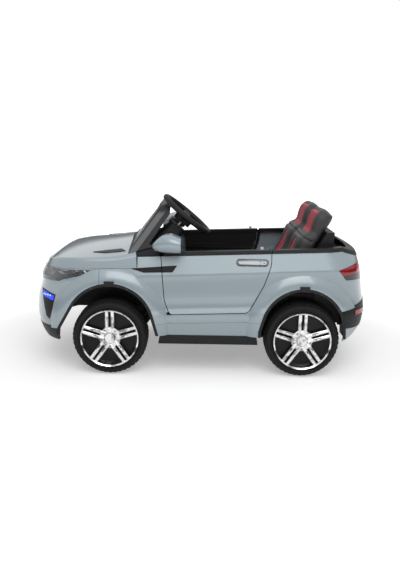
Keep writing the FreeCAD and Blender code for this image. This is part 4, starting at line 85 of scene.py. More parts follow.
class CarFinish(bpy.types.PropertyGroup):
    """Colours of the car."""

    paint: colour("Paint", "Grey-blue of the body panels", (0.268, 0.330, 0.364))
    black: colour("Black plastic", "Moulded bumpers, skirts, rim and interior", (0.0085, 0.0090, 0.0100))
    gloss: colour("Gloss black", "Grille, vents, lamp rims and wheel dishes", (0.0040, 0.0043, 0.0048))
    silver: colour("Silver plastic", "Handles, door bolts and diffuser", (0.42, 0.45, 0.47))
    chrome: colour("Chrome", "Spoke covers and lamp bowls", (0.70, 0.70, 0.70))
    rubber: colour("Rubber", "Tyres and door seals", (0.0085, 0.0085, 0.0092))
    leather: colour("Leatherette", "Black of the seats", (0.034, 0.034, 0.035))
    leather_red: colour("Red panels", "Red of the seat panels", (0.42, 0.022, 0.045))
    thread: colour("Thread", "Stitches of the seats", (0.035, 0.030, 0.032))
    screen: colour("Screen tint", "Smoked windscreen", (0.33, 0.33, 0.335))
    clear_lens: colour("Clear lens", "Covers of the headlamps", (0.80, 0.81, 0.83))
    red_lens: colour("Tail lens", "Red of the tail lamps", (0.30, 0.006, 0.010))
    lamp_blue: colour("Lamp blue", "Glow of the front daytime lamps", (0.010, 0.040, 0.85))
    lamp_dot: colour("Lamp points", "Lit points of the daytime lamps", (0.42, 0.72, 1.0))
    mirror_face: colour("Mirror face", "Glasses of the mirrors", (0.75, 0.77, 0.78))
    button_red: colour("Button", "Red of the power button", (0.45, 0.02, 0.025))
    steel: colour("Steel", "Axle, column, tie rod and knuckles", (0.46, 0.46, 0.47))
    bolt: colour("Bolts", "Bolts of the wheels", (0.20, 0.20, 0.21))
    motor_case: colour("Motor case", "Cases of the gear motors", (0.020, 0.021, 0.023))
    battery_case: colour("Battery case", "Case of the battery", (0.028, 0.030, 0.034))


class CarSizes(bpy.types.PropertyGroup):
    """Sizes of the fine work."""

    tread_blocks: whole_number("Tread blocks", "Blocks in one row of a tyre", 46, 12, 90)
    tread_rows: whole_number("Tread rows", "Rows of blocks across a tyre", 5, 1, 9)
    tread_height: length("Tread height", "Height of a tread block", 0.0030)
    pad_start: length("Pad start", "How far a pad starts inside its form", 0.0045)
    pad_swell: length("Pad swell", "The most that a pad may swell", 0.0043)
    pad_voxel: length("Pad mesh", "Mesh size of a pad", 0.0050)
    seam_depth: length("Seam depth", "Depth of a sewn seam", 0.0032)
    seam_width: length("Seam width", "Half width of a sewn seam", 0.0042)
    stitch_pitch: length("Stitch pitch", "Length from stitch to stitch", 0.0065)
    stitch_width: length("Stitch width", "Thickness of the thread", 0.0009)


class CarStage(bpy.types.PropertyGroup):
    """Camera and light."""

    place: FloatVectorProperty(
        name="Camera", description="Place of the camera", default=(-0.0117, -2.3537, 0.7306),
        subtype="TRANSLATION", unit="LENGTH",
    )
    yaw: slant("Yaw", "Turn of the camera", -0.328)
    pitch: slant("Pitch", "Downward tilt of the camera", 12.069)
    roll: slant("Roll", "Lean of the camera", 1.034)
    lens: FloatProperty(name="Lens", description="Focal length in millimetres", default=44.56)
    sky: FloatProperty(name="Sky", description="Even light from all round", default=0.46)
    top_power: watts("Top light", "Power of the overhead soft box", 10.0)
    key_power: watts("Key light", "Power of the soft box above the camera", 41.0)


# Node graphs
class Wire:
    """A node socket that takes part in Python sums."""

    def __init__(self, graph, socket):
        self.graph = graph
        self.socket = socket

    def sum(self, operation, first, second):
        return self.graph.node("ShaderNodeMath", {"operation": operation}, {0: first, 1: second})

    def __add__(self, other):
        return self.sum("ADD", self, other)

    def __radd__(self, other):
        return self.sum("ADD", other, self)

    def __sub__(self, other):
        return self.sum("SUBTRACT", self, other)

    def __rsub__(self, other):
        return self.sum("SUBTRACT", other, self)

    def __mul__(self, other):
        return self.sum("MULTIPLY", self, other)

    def __rmul__(self, other):
        return self.sum("MULTIPLY", other, self)

    def __truediv__(self, other):
        return self.sum("DIVIDE", self, other)

    def __pow__(self, other):
        return self.sum("POWER", self, other)

    def least(self, other):
        return self.sum("MINIMUM", self, other)

    def most(self, other):
        return self.sum("MAXIMUM", self, other)

    def size(self):
        return self.sum("ABSOLUTE", self, 0)

    def whole(self):
        return self.sum("FLOOR", self, 0)

    def left(self, other):
        return self.sum("MODULO", self, other)


class Graph:
    """A node tree that is written as Python."""

    def __init__(self, tree):
        self.tree = tree

    def node(self, kind, settings=None, inputs=None, out=0):
        """Add a node: its settings first, then the values or links of its sockets."""
        node = self.tree.nodes.new(kind)
        for key, value in (settings or {}).items():
            setattr(node, key, value)
        for key, value in (inputs or {}).items():
            if isinstance(value, Wire):
                self.tree.links.new(value.socket, node.inputs[key])
            else:
                node.inputs[key].default_value = value
        return Wire(self, node.outputs[out])


class Finish(Graph):
    """A procedural material."""

    def __init__(self, name):
        self.material = bpy.data.materials.new(name)
        self.material.use_nodes = True
        super().__init__(self.material.node_tree)
        self.tree.nodes.clear()
        self.place = self.node("ShaderNodeTexCoord", out="Object")
        split = self.tree.nodes.new("ShaderNodeSeparateXYZ")
        self.tree.links.new(self.place.socket, split.inputs[0])
        self.x, self.y, self.z = (Wire(self, socket) for socket in split.outputs)

    def noise(self, scale, detail=2.0):
        """Soft cloudy values about one half."""
        inputs = {"Vector": self.place, "Scale": scale, "Detail": detail}
        return self.node("ShaderNodeTexNoise", None, inputs, "Fac")

    def cells(self, scale, feature="F1"):
        """Cell values, for grain."""
        inputs = {"Vector": self.place, "Scale": scale}
        return self.node("ShaderNodeTexVoronoi", {"feature": feature}, inputs, "Distance")

    def bands(self, direction, scale, distortion=0.0):
        """Even bands, one after the other along a direction."""
        settings = {"wave_type": "BANDS", "bands_direction": direction}
        inputs = {"Vector": self.place, "Scale": scale, "Distortion": distortion}
        return self.node("ShaderNodeTexWave", settings, inputs, "Fac")

    def rise(self, value, low, high):
        """0 below low, 1 above high, smooth between."""
        limits = {"Value": value, "From Min": low, "From Max": high}
        return self.node("ShaderNodeMapRange", {"interpolation_type": "SMOOTHSTEP"}, limits)

    def within(self, value, low, high, soft):
        """1 between low and high."""
        return self.rise(value, low - soft, low + soft) * (1 - self.rise(value, high - soft, high + soft))

    def mix(self, share, first, second):
        """Two colours mixed by a share."""
        return self.node("ShaderNodeMix", {"data_type": "RGBA"}, {0: share, 6: first, 7: second}, 2)

    def shades(self, share, rgb, first, second):
        """One colour at two gains, mixed by a share."""
        return self.mix(share, tone(rgb, first), tone(rgb, second))

    def marked(self, base, marks):
        """A base colour with the marks that a function gives as (mask, colour) pairs."""
        for mask, shade in marks(self) if marks else ():
            base = self.mix(mask, base, shade)
        return base

    def apart(self, across, up):
        """The distance of a place from the middle of a mark."""
        return (across * across + up * up) ** 0.5

    def bump(self, height, strength, distance):
        """A normal from a height."""
        inputs = {"Height": height, "Strength": strength, "Distance": distance}
        return self.node("ShaderNodeBump", None, inputs)

    def skin(self, **sockets):
        """The main shader, with sockets by name."""
        named = {key.replace("_", " "): value for key, value in sockets.items()}
        return self.node("ShaderNodeBsdfPrincipled", None, named)

    def done(self, shader):
        """Close the material with its shader."""
        output = self.tree.nodes.new("ShaderNodeOutputMaterial")
        self.tree.links.new(shader.socket, output.inputs["Surface"])
        return self.material


class Recipe(Graph):
    """A geometry node tree with named inputs that repeats a unit."""

    def __init__(self, name, sockets):
        super().__init__(bpy.data.node_groups.new(name, "GeometryNodeTree"))
        face = self.tree.interface
        face.new_socket("Geometry", in_out="INPUT", socket_type="NodeSocketGeometry")
        face.new_socket("Geometry", in_out="OUTPUT", socket_type="NodeSocketGeometry")
        self.keys = {}
        for label, kind in {**sockets, "Material": "Material"}.items():
            socket = face.new_socket(label, in_out="INPUT", socket_type="NodeSocket" + kind)
            self.keys[label] = socket.identifier
        entry = self.tree.nodes.new("NodeGroupInput")
        self.entry = {socket.name: Wire(self, socket) for socket in entry.outputs if socket.name}

    def named(self, key):
        """A vector that the points carry."""
        return self.node("GeometryNodeInputNamedAttribute", {"data_type": "FLOAT_VECTOR"}, {"Name": key})

    def unit(self):
        """The shape of the object that is repeated."""
        return self.node("GeometryNodeObjectInfo", None, {"Object": self.entry["Unit"]}, "Geometry")

    def facing(self, out, way):
        """A turn that puts Z along out and X along way."""
        axes = {"primary_axis": "Z", "secondary_axis": "X"}
        return self.node("FunctionNodeAxesToRotation", axes, {0: out, 1: way})

    def close(self, points, unit, turn):
        """Put a unit on every point, make it real, give it its material and end the tree."""
        where = {"Points": points, "Instance": unit, "Rotation": turn}
        placed = self.node("GeometryNodeInstanceOnPoints", None, where)
        real = self.node("GeometryNodeRealizeInstances", None, {0: placed})
        cover = {"Geometry": real, "Material": self.entry["Material"]}
        dressed = self.node("GeometryNodeSetMaterial", None, cover)
        leave = self.tree.nodes.new("NodeGroupOutput")
        self.tree.links.new(dressed.socket, leave.inputs[0])
        return self

    def make(self, mesh, **values):
        """Run the tree on a mesh and return the result as a plain mesh."""
        obj = bpy.data.objects.new("recipe_source", mesh)
        bpy.context.scene.collection.objects.link(obj)
        step = obj.modifiers.new("recipe", "NODES")
        step.node_group = self.tree
        for label, value in values.items():
            step[self.keys[label]] = value
        bpy.context.view_layer.update()
        result = bpy.data.meshes.new_from_object(obj.evaluated_get(bpy.context.evaluated_depsgraph_get()))
        bpy.data.objects.remove(obj)
        return result


def ring_recipe():
    """Units turned about an axle in rows side by side; each second row is turned by half a step."""
    r = Recipe("units_round_axle", {"Count": "Int", "Rows": "Int", "Pitch": "Float", "Centre": "Vector"})
    count, rows = r.entry["Count"], r.entry["Rows"]
    line = {"Count": count * rows, "Start Location": r.entry["Centre"], "Offset": (0, 0, 0)}
    points = r.node("GeometryNodeMeshLine", None, line)
    index = r.node("GeometryNodeInputIndex")
    row = ((index + 0.5) / count).whole()
    across = r.node("ShaderNodeCombineXYZ", None, {1: (row - (rows - 1) * 0.5) * r.entry["Pitch"]})
    placed = r.node("GeometryNodeSetPosition", None, {"Geometry": points, "Offset": across})
    angle = (index - row * count + row.left(2) * 0.5) * (2 * math.pi) / count
    turn = r.node("FunctionNodeEulerToRotation", None, {0: r.node("ShaderNodeCombineXYZ", None, {1: angle})})
    return r.close(placed, r.entry["Geometry"], turn)


def spot_recipe():
    """A unit on every point, upright on the surface."""
    r = Recipe("units_on_spots", {"Unit": "Object"})
    return r.close(r.entry["Geometry"], r.unit(), r.facing(r.named("out"), r.named("way")))


def line_recipe():
    """A unit at even steps along a line, such as stitches along a seam."""
    r = Recipe("units_on_line", {"Unit": "Object", "Step": "Float"})
    curve = r.node("GeometryNodeMeshToCurve", None, {0: r.entry["Geometry"]})
    steps = {"Curve": curve, "Length": r.entry["Step"]}
    points = r.node("GeometryNodeCurveToPoints", {"mode": "LENGTH"}, steps)
    tangent = Wire(r, points.socket.node.outputs["Tangent"])
    return r.close(points, r.unit(), r.facing(r.named("out"), tangent))


RECIPES = {}


def repeat(kind, mesh, **values):
    """Run one of the repeating trees, which is made when it is first used."""
    if kind not in RECIPES:
        RECIPES[kind] = {"ring": ring_recipe, "spots": spot_recipe, "line": line_recipe}[kind]()
    return RECIPES[kind].make(mesh, **values)


# Mesh work
MERGE_DISTANCE = 1e-7


def to_mesh(bm, name):
    """Close a bmesh into a mesh whose faces point outwards."""
    bmesh.ops.remove_doubles(bm, verts=bm.verts, dist=MERGE_DISTANCE)
    bmesh.ops.recalc_face_normals(bm, faces=bm.faces)
    mesh = bpy.data.meshes.new(name)
    bm.to_mesh(mesh)
    bm.free()
    return mesh


def looped(loops, caps=True, round_trip=False):
    """A skin over loops of points that follow each other, closed at its ends or back on itself."""
    bm = bmesh.new()
    rings = [[bm.verts.new(point) for point in loop] for loop in loops]
    pairs = list(zip(rings, rings[1:])) + ([(rings[-1], rings[0])] if round_trip else [])
    for first, second in pairs:
        for step in range(len(first)):
            after = (step + 1) % len(first)
            bm.faces.new((first[step], first[after], second[after], second[step]))
    if caps and not round_trip:
        bm.faces.new(rings[0])
        bm.faces.new(rings[-1])
    return bm


def round_steps(count):
    """Even angles round a full turn."""
    return [2 * math.pi * step / count for step in range(count)]


def turned(profile, centre, steps):
    """A closed profile of (radius, y) turned about a wheel's axle."""
    loops = []
    for angle in round_steps(steps):
        sine, cosine = math.sin(angle), math.cos(angle)
        loops.append([(centre[0] + r * sine, y, centre[2] + r * cosine) for r, y in profile])
    return looped(loops, False, True)


def joined(name, *meshes):
    """Several meshes as one."""
    bm = bmesh.new()
    for mesh in meshes:
        bm.from_mesh(mesh)
    mesh = bpy.data.meshes.new(name)
    bm.to_mesh(mesh)
    bm.free()
    return mesh


def unit_object(mesh):
    """A hidden object that a tree repeats."""
    obj = bpy.data.objects.new("unit", mesh)
    bpy.context.scene.collection.objects.link(obj)
    return obj


def spots(rows):
    """Points that carry where their surface faces and which way they run: rows of (place, out, way)."""
    mesh = bpy.data.meshes.new("spots")
    mesh.from_pydata([tuple(row[0]) for row in rows], [(step, step + 1) for step in range(len(rows) - 1)], [])
    for key, column in (("out", 1), ("way", 2)):
        layer = mesh.attributes.new(key, "FLOAT_VECTOR", "POINT")
        layer.data.foreach_set("vector", [value for row in rows for value in row[column]])
    return mesh


def scattered(name, unit, rows, material, body):
    """A piece made of one unit on many spots."""
    source = unit_object(unit)
    mesh = repeat("spots", spots(rows), Unit=source, Material=material)
    bpy.data.objects.remove(source)
    return settled(name, mesh, material, body, SPOT_SHARP)


def settled(name, mesh, material, body, sharp_degrees):
    """A finished piece at the origin, with its material, that rides on a body."""
    obj = bpy.data.objects.new(name, mesh)
    bpy.context.scene.collection.objects.link(obj)
    dress(obj, material)
    mesh.shade_smooth()
    mesh.set_sharp_from_angle(angle=math.radians(sharp_degrees))
    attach(obj, body)
    return obj


class Surface:
    """The shape of some meshes, for finding places on it."""

    def __init__(self, *meshes):
        points, faces = [], []
        for mesh in meshes:
            start = len(points)
            points += [tuple(vertex.co) for vertex in mesh.vertices]
            faces += [tuple(start + corner for corner in polygon.vertices) for polygon in mesh.polygons]
        self.tree = BVHTree.FromPolygons(points, faces)

    def hit(self, start, way):
        """The place that a ray reaches, and where the surface faces there."""
        place, out, _, _ = self.tree.ray_cast(Vector(start), Vector(way).normalized())
        if place is None:
            raise RuntimeError("nothing at %s along %s" % (tuple(start), tuple(way)))
        if out.dot(Vector(way)) > 0:
            out = -out
        return place, out

    def from_side(self, side, x, z):
        """The same for a level ray that comes from outside the car's left or right side."""
        return self.hit((x, side * OUTSIDE_Y, z), (0, -side, 0))


def node_surface(*names):
    """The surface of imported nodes."""
    return Surface(*(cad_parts[name].data for name in names))


def button(profile):
    """A turned unit about Z from (radius, height) points, closed at both ends."""
    loops = []
    for radius, height in profile:
        turns = round_steps(BUTTON_SIDES)
        loops.append([(radius * math.cos(turn), radius * math.sin(turn), height) for turn in turns])
    return to_mesh(looped(loops), "button")


def tone(rgb, gain=1.0):
    """A colour with its alpha, lighter or darker by a gain."""
    return (*(min(1.0, channel * gain) for channel in rgb), 1.0)


SIDES = (("left", -1), ("right", 1))
ENDS = ("front", "rear")
WHEELS = [(end + "_" + hand, side) for end in ENDS for hand, side in SIDES]
OUTSIDE_Y = 0.45
BUTTON_SIDES, HEXAGON = 12, 6

# Angles in degrees past which an edge is sharp
SPOT_SHARP, TYRE_SHARP, WHEEL_SHARP, TRIM_SHARP, STITCH_SHARP, PAD_SHARP = 40, 28, 30, 40, 60, 180


# Finishes
def painted(name, rgb, marks=None, form=None):
    """Flake paint under a clear coat; form adds pressed lines, as heights in metres."""
    f = Finish(name)
    flake = f.noise(1900.0, 1.0)
    cloud = f.noise(4.0, 3.0)
    base = f.marked(f.shades(flake * 0.6 + cloud * 0.4, rgb, 0.90, 1.10), marks)
    height = f.noise(240.0) * 0.00004 + flake * 0.000012
    peel = f.bump(height + form(f) if form else height, 1.0, 1.0)
    coat = {"Metallic": 0.10, "Coat_Weight": 0.85, "Coat_Roughness": 0.07}
    return f.done(f.skin(Base_Color=base, Roughness=0.30 + cloud * 0.08, Normal=peel, **coat))


def moulded(name, rgb, rough, grain=900.0, depth=0.25, coat=0.0, marks=None):
    """Moulded plastic with a fine spark-eroded grain and slight handling marks."""
    f = Finish(name)
    pits = f.cells(grain)
    wear = f.noise(14.0, 4.0)
    base = f.marked(f.shades(pits * 0.5 + wear * 0.6, rgb, 0.78, 1.38), marks)
    surface = f.bump(pits + f.noise(grain * 0.4) * 0.5, depth, 0.0005)
    shine = {"Specular_IOR_Level": 0.26, "Coat_Weight": coat, "Coat_Roughness": 0.08}
    return f.done(f.skin(Base_Color=base, Roughness=rough - 0.08 + wear * 0.16, Normal=surface, **shine))


def plated(name, rgb, rough, metal=1.0, marks=None):
    """Plated or polished metal with faint smears."""
    f = Finish(name)
    smear = f.noise(22.0, 5.0)
    base = f.marked(f.shades(smear, rgb, 0.92, 1.06), marks)
    surface = f.bump(f.noise(420.0), 0.03, 0.0004)
    return f.done(f.skin(Base_Color=base, Roughness=rough + smear * 0.08, Metallic=metal, Normal=surface))


def painted_reflection_chrome(name, rgb):
    """Vacuum-plated chrome on plastic: mirror-like, with soft dark streaks where the plating ripples; the
    streaks are painted reflection, darkening the colour where a dark surround would be mirrored.
    """
    f = Finish(name)
    ripple = f.noise(46.0)
    smear = f.noise(16.0, 4.0)
    # Painted reflection: this mask darkens the chrome's colour in soft streaks that stand in for a dark
    # surround seen in it.
    dark = f.rise(ripple * 0.7 + smear * 0.3, 0.50, 0.66)
    base = f.shades(dark, rgb, 1.05, 0.34)
    surface = f.bump(ripple + f.noise(420.0) * 0.02, 0.25, 0.004)
    return f.done(f.skin(Base_Color=base, Roughness=0.09 + smear * 0.10, Metallic=1.0, Normal=surface))


LAMP_FOOT_X, LAMP_FOOT_SLOPE, LAMP_FOOT_Z = -0.42, 0.18, (0.2995, 0.3035)
LAMP_GAPS = ((-0.4850, -0.4750, 0.0015), (-0.4500, -0.4460, 0.0010))
# The black of the lamp trim, which also paints the dark reflection bands on the fluted chrome.
LAMP_TRIM_AND_REFLECTION_BLACK = (0.008, 0.008, 0.011, 1.0)


def reflector(name, rgb):
    """The inside of a headlamp: fluted chrome above, dark trim below and between the lamps; bands along the
    flutes are darkened to the trim's black as painted reflection.
    """
    f = Finish(name)
    flute = f.bands("DIAGONAL", 26.0, 1.5)
    low = 1 - f.rise(f.z - (f.x - LAMP_FOOT_X) * LAMP_FOOT_SLOPE, *LAMP_FOOT_Z)
    front_gap, rear_gap = (f.within(f.x, *gap) for gap in LAMP_GAPS)
    # Real dark trim below and in the gaps, and painted reflection: dark bands along the flutes of the chrome.
    dark = low.most(front_gap + rear_gap).most(f.rise(flute, 0.40, 0.58) * 0.92).least(1.0)
    base = f.mix(dark, tone(rgb, 0.85), LAMP_TRIM_AND_REFLECTION_BLACK)
    shine = {"Roughness": 0.16 + flute * 0.10, "Metallic": 1 - dark * 0.9}
    return f.done(f.skin(Base_Color=base, Normal=f.bump(flute, 0.5, 0.002), **shine))


def rubbery(name, rgb):
    """Tyre compound: dull, dusty in patches, with fine turned lines."""
    f = Finish(name)
    dust = f.noise(30.0, 5.0)
    lines = f.bands("Y", 180.0, 0.4)
    base = f.shades(dust, rgb, 0.75, 1.7)
    surface = f.bump(f.noise(700.0) + lines * 0.25, 0.30, 0.0005)
    shine = {"Roughness": 0.60 + dust * 0.2, "Specular_IOR_Level": 0.22}
    return f.done(f.skin(Base_Color=base, Normal=surface, **shine))


def hide(name, rgb, red=None, panels=None):
    """Leatherette with pebble grain; red panels lie where a mask says."""
    f = Finish(name)
    pebble = f.cells(330.0, "SMOOTH_F1")
    crease = f.noise(60.0, 4.0)
    grain = pebble * 0.8 + crease * 0.3
    base = f.shades(grain, rgb, 0.75, 1.45)
    if panels:
        base = f.mix(panels(f), base, f.shades(grain, red, 0.70, 1.20))
    surface = f.bump(pebble + crease * 0.3, 0.35, 0.0007)
    shine = {"Roughness": 0.42 + crease * 0.18, "Specular_IOR_Level": 0.35}
    return f.done(f.skin(Base_Color=base, Normal=surface, **shine))


# A lens that covers less than this share lets its own colour through, and any other a smoky one
THIN_COVER = 0.3
SMOKE = (0.75, 0.75, 0.76, 1.0)


def lens(name, rgb, cover, rough, marks=None):
    """A clear or tinted moulding: see-through face on, more solid at its edges."""
    f = Finish(name)
    edge = f.node("ShaderNodeLayerWeight", None, {"Blend": 0.35}, "Facing")
    streak = f.noise(35.0, 3.0)
    base = f.marked(f.shades(streak, rgb, 0.9, 1.12), marks)
    coat = {"Coat_Weight": 0.35, "Coat_Roughness": 0.04, "Normal": f.bump(streak, 0.02, 0.001)}
    solid = f.skin(Base_Color=base, Roughness=rough + streak * 0.05, **coat)
    tint = tone(rgb) if cover < THIN_COVER else SMOKE
    clear = f.node("ShaderNodeBsdfTransparent", None, {"Color": tint})
    share = (edge * (1.0 - cover) * 0.45 + cover).least(1.0)
    return f.done(f.node("ShaderNodeMixShader", None, {0: share, 1: clear, 2: solid}))


def glowing(name, rgb):
    """A lit lamp: brighter in bands behind a ribbed cover."""
    f = Finish(name)
    ribs = f.bands("X", 90.0)
    light = f.shades(ribs * 0.4 + f.noise(60.0) * 0.3, rgb, 0.75, 1.25)
    return f.done(f.skin(Base_Color=light, Emission_Color=light, Emission_Strength=1.0, Roughness=0.25))


# Marks on the finishes: places in metres, most as (low, high) or (low, high, softness)
SHOULDER_Z, SHOULDER_SLOPE, SHOULDER_FADE_X = 0.3195, 0.041, (-0.235, -0.150)
CREASE_REACH, CREASE_SLOPE = 0.075, -0.11
FOOT_DROP, FOOT_FLARE = (0.104, 0.127), 0.0052
SILL_Z, SILL_SLOPE, SILL_HEIGHT = (0.1632, 0.1662, 0.0007), 0.030, -0.0012
HANDLE_X, HANDLE_Z, HANDLE_HALF = (0.1095, 0.2045), 0.3548, 0.0092
HANDLE_RECESS = (0.0016, 0.0022)
LOCK_X, LOCK_RADIUS, LOCK_JOINT_X = 0.1915, (0.0015, 0.0019), (0.1800, 0.1808, 0.0002)
MIRROR_FOOT_Y = (0.2600, 0.2606)
SCREEN_FOOT, SCREEN_LEAN = (-0.244, 0.345), 0.7335
SMOKED_DEPTH, SMOKED_Z = (0.0035, 0.0245, 0.0020), (0.372, 0.492, 0.0080)
TAIL_SLOPE, TAIL_BAND_FOOT, TAIL_BAND_TOP = 0.10, (0.2600, 0.2610), (0.2745, 0.2755)
TAIL_WRAP_X, TAIL_WRAP_FOOT = (0.478, 0.482), (0.2760, 0.2770)
# The first colour on the next line is painted shade: the near black of the shadowed recess round the door
# handle.
RECESS_SHADE, LOCK_GREY = (0.010, 0.0105, 0.011, 1.0), (0.03, 0.032, 0.034, 1.0)
FOOT_BLACK, SMOKED_GREY = (0.011, 0.0115, 0.012, 1.0), (0.120, 0.121, 0.125, 1.0)
TAIL_PALE, TAIL_DARK = (0.62, 0.20, 0.22, 1.0), (0.012, 0.008, 0.009, 1.0)


def pressed_side(f):
    """Lines pressed into the body side: the shoulder crease, the door's flared foot and the sill line."""
    drop = f.z - f.x * SHOULDER_SLOPE - SHOULDER_Z
    crease = drop.size().least(CREASE_REACH) * CREASE_SLOPE
    foot = f.rise(0 - drop, *FOOT_DROP) * FOOT_FLARE
    sill = f.within(f.z - f.x * SILL_SLOPE, *SILL_Z) * SILL_HEIGHT
    return (crease + foot + sill) * f.rise(f.x, *SHOULDER_FADE_X)


def handle_recess_shade(f):
    """The recess round the door handle, darkened to near black: painted shade where the recess lies in
    shadow.
    """
    middle, half = (HANDLE_X[0] + HANDLE_X[1]) / 2, (HANDLE_X[1] - HANDLE_X[0]) / 2
    along = ((f.x - middle).size() - (half - HANDLE_HALF)).most(0)
    inner, outer = (HANDLE_HALF + reach for reach in HANDLE_RECESS)
    return [(1 - f.rise(f.apart(along, f.z - HANDLE_Z), inner, outer), RECESS_SHADE)]


def lock_marks(f):
    """The joint and the lock of a door handle."""
    joint = f.within(f.x, *LOCK_JOINT_X)
    lock = 1 - f.rise(f.apart(f.x - LOCK_X, f.z - HANDLE_Z), *LOCK_RADIUS)
    return [((joint + lock).least(1.0), LOCK_GREY)]


def mirror_foot(f):
    """The black foot of a mirror."""
    return [(1 - f.rise(f.y.size(), *MIRROR_FOOT_Y), FOOT_BLACK)]


def smoked_edge(f):
    """The smoked edge of the screen along the front of its frame's sides."""
    behind = f.x - SCREEN_FOOT[0] - (f.z - SCREEN_FOOT[1]) * SCREEN_LEAN
    strip = f.within(behind, *SMOKED_DEPTH) * f.within(f.z, *SMOKED_Z)
    return [(strip, SMOKED_GREY)]


def tail_marks(f):
    """Pale rear wrap and dark lower band of a tail lens."""
    level = f.z - f.x * TAIL_SLOPE
    dark = (1 - f.rise(level, *TAIL_BAND_TOP)) * f.rise(f.z, *TAIL_BAND_FOOT)
    pale = f.rise(f.x, *TAIL_WRAP_X) * f.rise(level, *TAIL_WRAP_FOOT)
    return [(pale, TAIL_PALE), (dark, TAIL_DARK)]


MATERIALS = {}
NODE_FINISH = {
    "body_paint": ["hood", "front_bumper", "rear_panel"],
    "side_paint": ["body_side_left", "body_side_right"],
    "door_paint": ["door_left", "door_right"],
    "mirror_paint": ["mirror_housings"],
    "black_plastic": [
        "front_lip", "arch_liners", "sill_skirts", "cockpit_rim", "rear_bumper", "chassis_tub",
        "front_axle_beam", "seat_shell", "pedal", "drive_switch",
    ],
    "screen_frame": ["windscreen_frame"],
    "soft_black": ["dashboard", "door_liner_left", "door_liner_right", "steering_wheel", "horn_button"],
    "gloss_black": ["grille"],
    "dish_black": ["body_vents", "fog_lamps", "tail_lamps"] + ["wheel_core_" + wheel for wheel, _ in WHEELS],
    "silver_plastic": ["rear_diffuser", "door_bolt_left", "door_bolt_right"],
    "chrome": ["spoke_cover_" + wheel for wheel, _ in WHEELS],
    "lamp_bowl": ["headlamp_housings"],
    "clear_lens": ["headlamp_lenses"],
    "screen": ["windscreen"],
    "red_lens": ["tail_lenses"],
    "lamp_blue": ["fog_leds"],
    "mirror_face": ["mirror_glasses"],
    "leather": ["seat_cushion", "seat_back_left", "seat_back_right"],
    "steel": ["rear_axle", "steering_column", "tie_rod", "knuckle_left", "knuckle_right"],
    "motor_case": ["gear_motors"],
    "battery_case": ["battery"],
    "button_red": ["power_button"],
    "tyre": ["tyre_" + wheel for wheel, _ in WHEELS],
}


def dress(obj, material):
    """Give an object one material."""
    obj.data.materials.clear()
    obj.data.materials.append(material)


class CAR_OT_finishes(bpy.types.Operator):
    """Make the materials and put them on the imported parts"""

    bl_idname = "car.finishes"
    bl_label = "Finishes"

    def execute(self, context):
        for name, (make, *values) in self.recipes(context.scene.car_finish).items():
            MATERIALS[name] = make(name, *values)
        for key, names in NODE_FINISH.items():
            for name in names:
                dress(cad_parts[name], MATERIALS[key])
        left = sorted(set(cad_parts) - {name for names in NODE_FINISH.values() for name in names})
        if left:
            raise RuntimeError("no finish for " + ", ".join(left))
        return {"FINISHED"}

    def recipes(self, c):
        """The function that makes each material, and its values after the name."""
        return {
            "body_paint": (painted, c.paint),
            "side_paint": (painted, c.paint, None, pressed_side),
            "door_paint": (painted, c.paint, handle_recess_shade, pressed_side),
            "mirror_paint": (painted, c.paint, mirror_foot),
            "black_plastic": (moulded, c.black, 0.48),
            "screen_frame": (moulded, c.black, 0.48, 900.0, 0.25, 0.0, smoked_edge),
            "soft_black": (moulded, c.black, 0.58, 700.0, 0.35),
            "gloss_black": (moulded, c.gloss, 0.20, 300.0, 0.04, 0.5),
            "silver_plastic": (plated, c.silver, 0.34, 0.55),
            "dish_black": (moulded, tone(c.gloss, 0.4)[:3], 0.42, 500.0, 0.08),
            "chrome": (painted_reflection_chrome, c.chrome),
            "lamp_bowl": (reflector, c.chrome),
            "clear_lens": (lens, c.clear_lens, 0.03, 0.03),
            "screen": (lens, c.screen, 0.86, 0.30),
            "red_lens": (lens, c.red_lens, 0.86, 0.08, tail_marks),
            "lamp_blue": (glowing, c.lamp_blue),
            "mirror_face": (plated, c.mirror_face, 0.02),
            "leather": (hide, c.leather),
            "seat_back": (hide, c.leather, c.leather_red, back_panels),
            "cushion": (hide, c.leather, c.leather_red, cushion_panels),
            "thread": (moulded, c.thread, 0.6, 2200.0, 0.3),
            "handle": (plated, c.silver, 0.30, 0.55, lock_marks),
            "bolt": (plated, c.bolt, 0.35),
            "lamp_dot": (glowing, c.lamp_dot),
            "steel": (plated, c.steel, 0.30),
            "motor_case": (moulded, c.motor_case, 0.45, 600.0, 0.2),
            "battery_case": (moulded, c.battery_case, 0.5, 800.0, 0.2),
            "button_red": (moulded, c.button_red, 0.3, 500.0, 0.1, 0.3),
            "tyre": (rubbery, c.rubber),
        }


# Wheels
TYRE_FLANK = (
    (0.0890, 0.0054), (0.0920, 0.0036), (0.0945, 0.0025), (0.0960, 0.0022), (0.0968, 0.0030),
    (0.0982, 0.0031), (0.0992, 0.0021), (0.1025, 0.0016), (0.1055, 0.0022), (0.1074, 0.0034),
    (0.1082, 0.0050), (0.1096, 0.0054), (0.1110, 0.0078), (0.1122, 0.0116), (0.1129, 0.0165),
)
TYRE_STEPS = 112
TREAD_SPREAD, TREAD_SINK = 1.05, 0.0006
BLOCK_LENGTH_SHARE, BLOCK_WIDTH_SHARE = 0.72, 0.40
BLOCK_OUTLINE_SHARES = ((-1.0, -1.0), (1.0, -1.0), (1.35, 0.0), (1.0, 1.0), (-1.0, 1.0), (-0.65, 0.0))
BLOCK_HEIGHT_SHARES = ((0.0, 1.0), (0.75, 0.97), (1.0, 0.86))
SPOKES, SPOKE_SET = 5, 0.0086
PLATE_STEPS = (
    (0.0330, 0.0040, 0.0002), (0.0340, 0.0044, 0.0013), (0.0410, 0.0044, 0.0016), (0.0500, 0.0043, 0.0016),
    (0.0560, 0.0032, 0.0014), (0.0600, 0.0012, 0.0010), (0.0612, 0.0003, 0.0002),
)
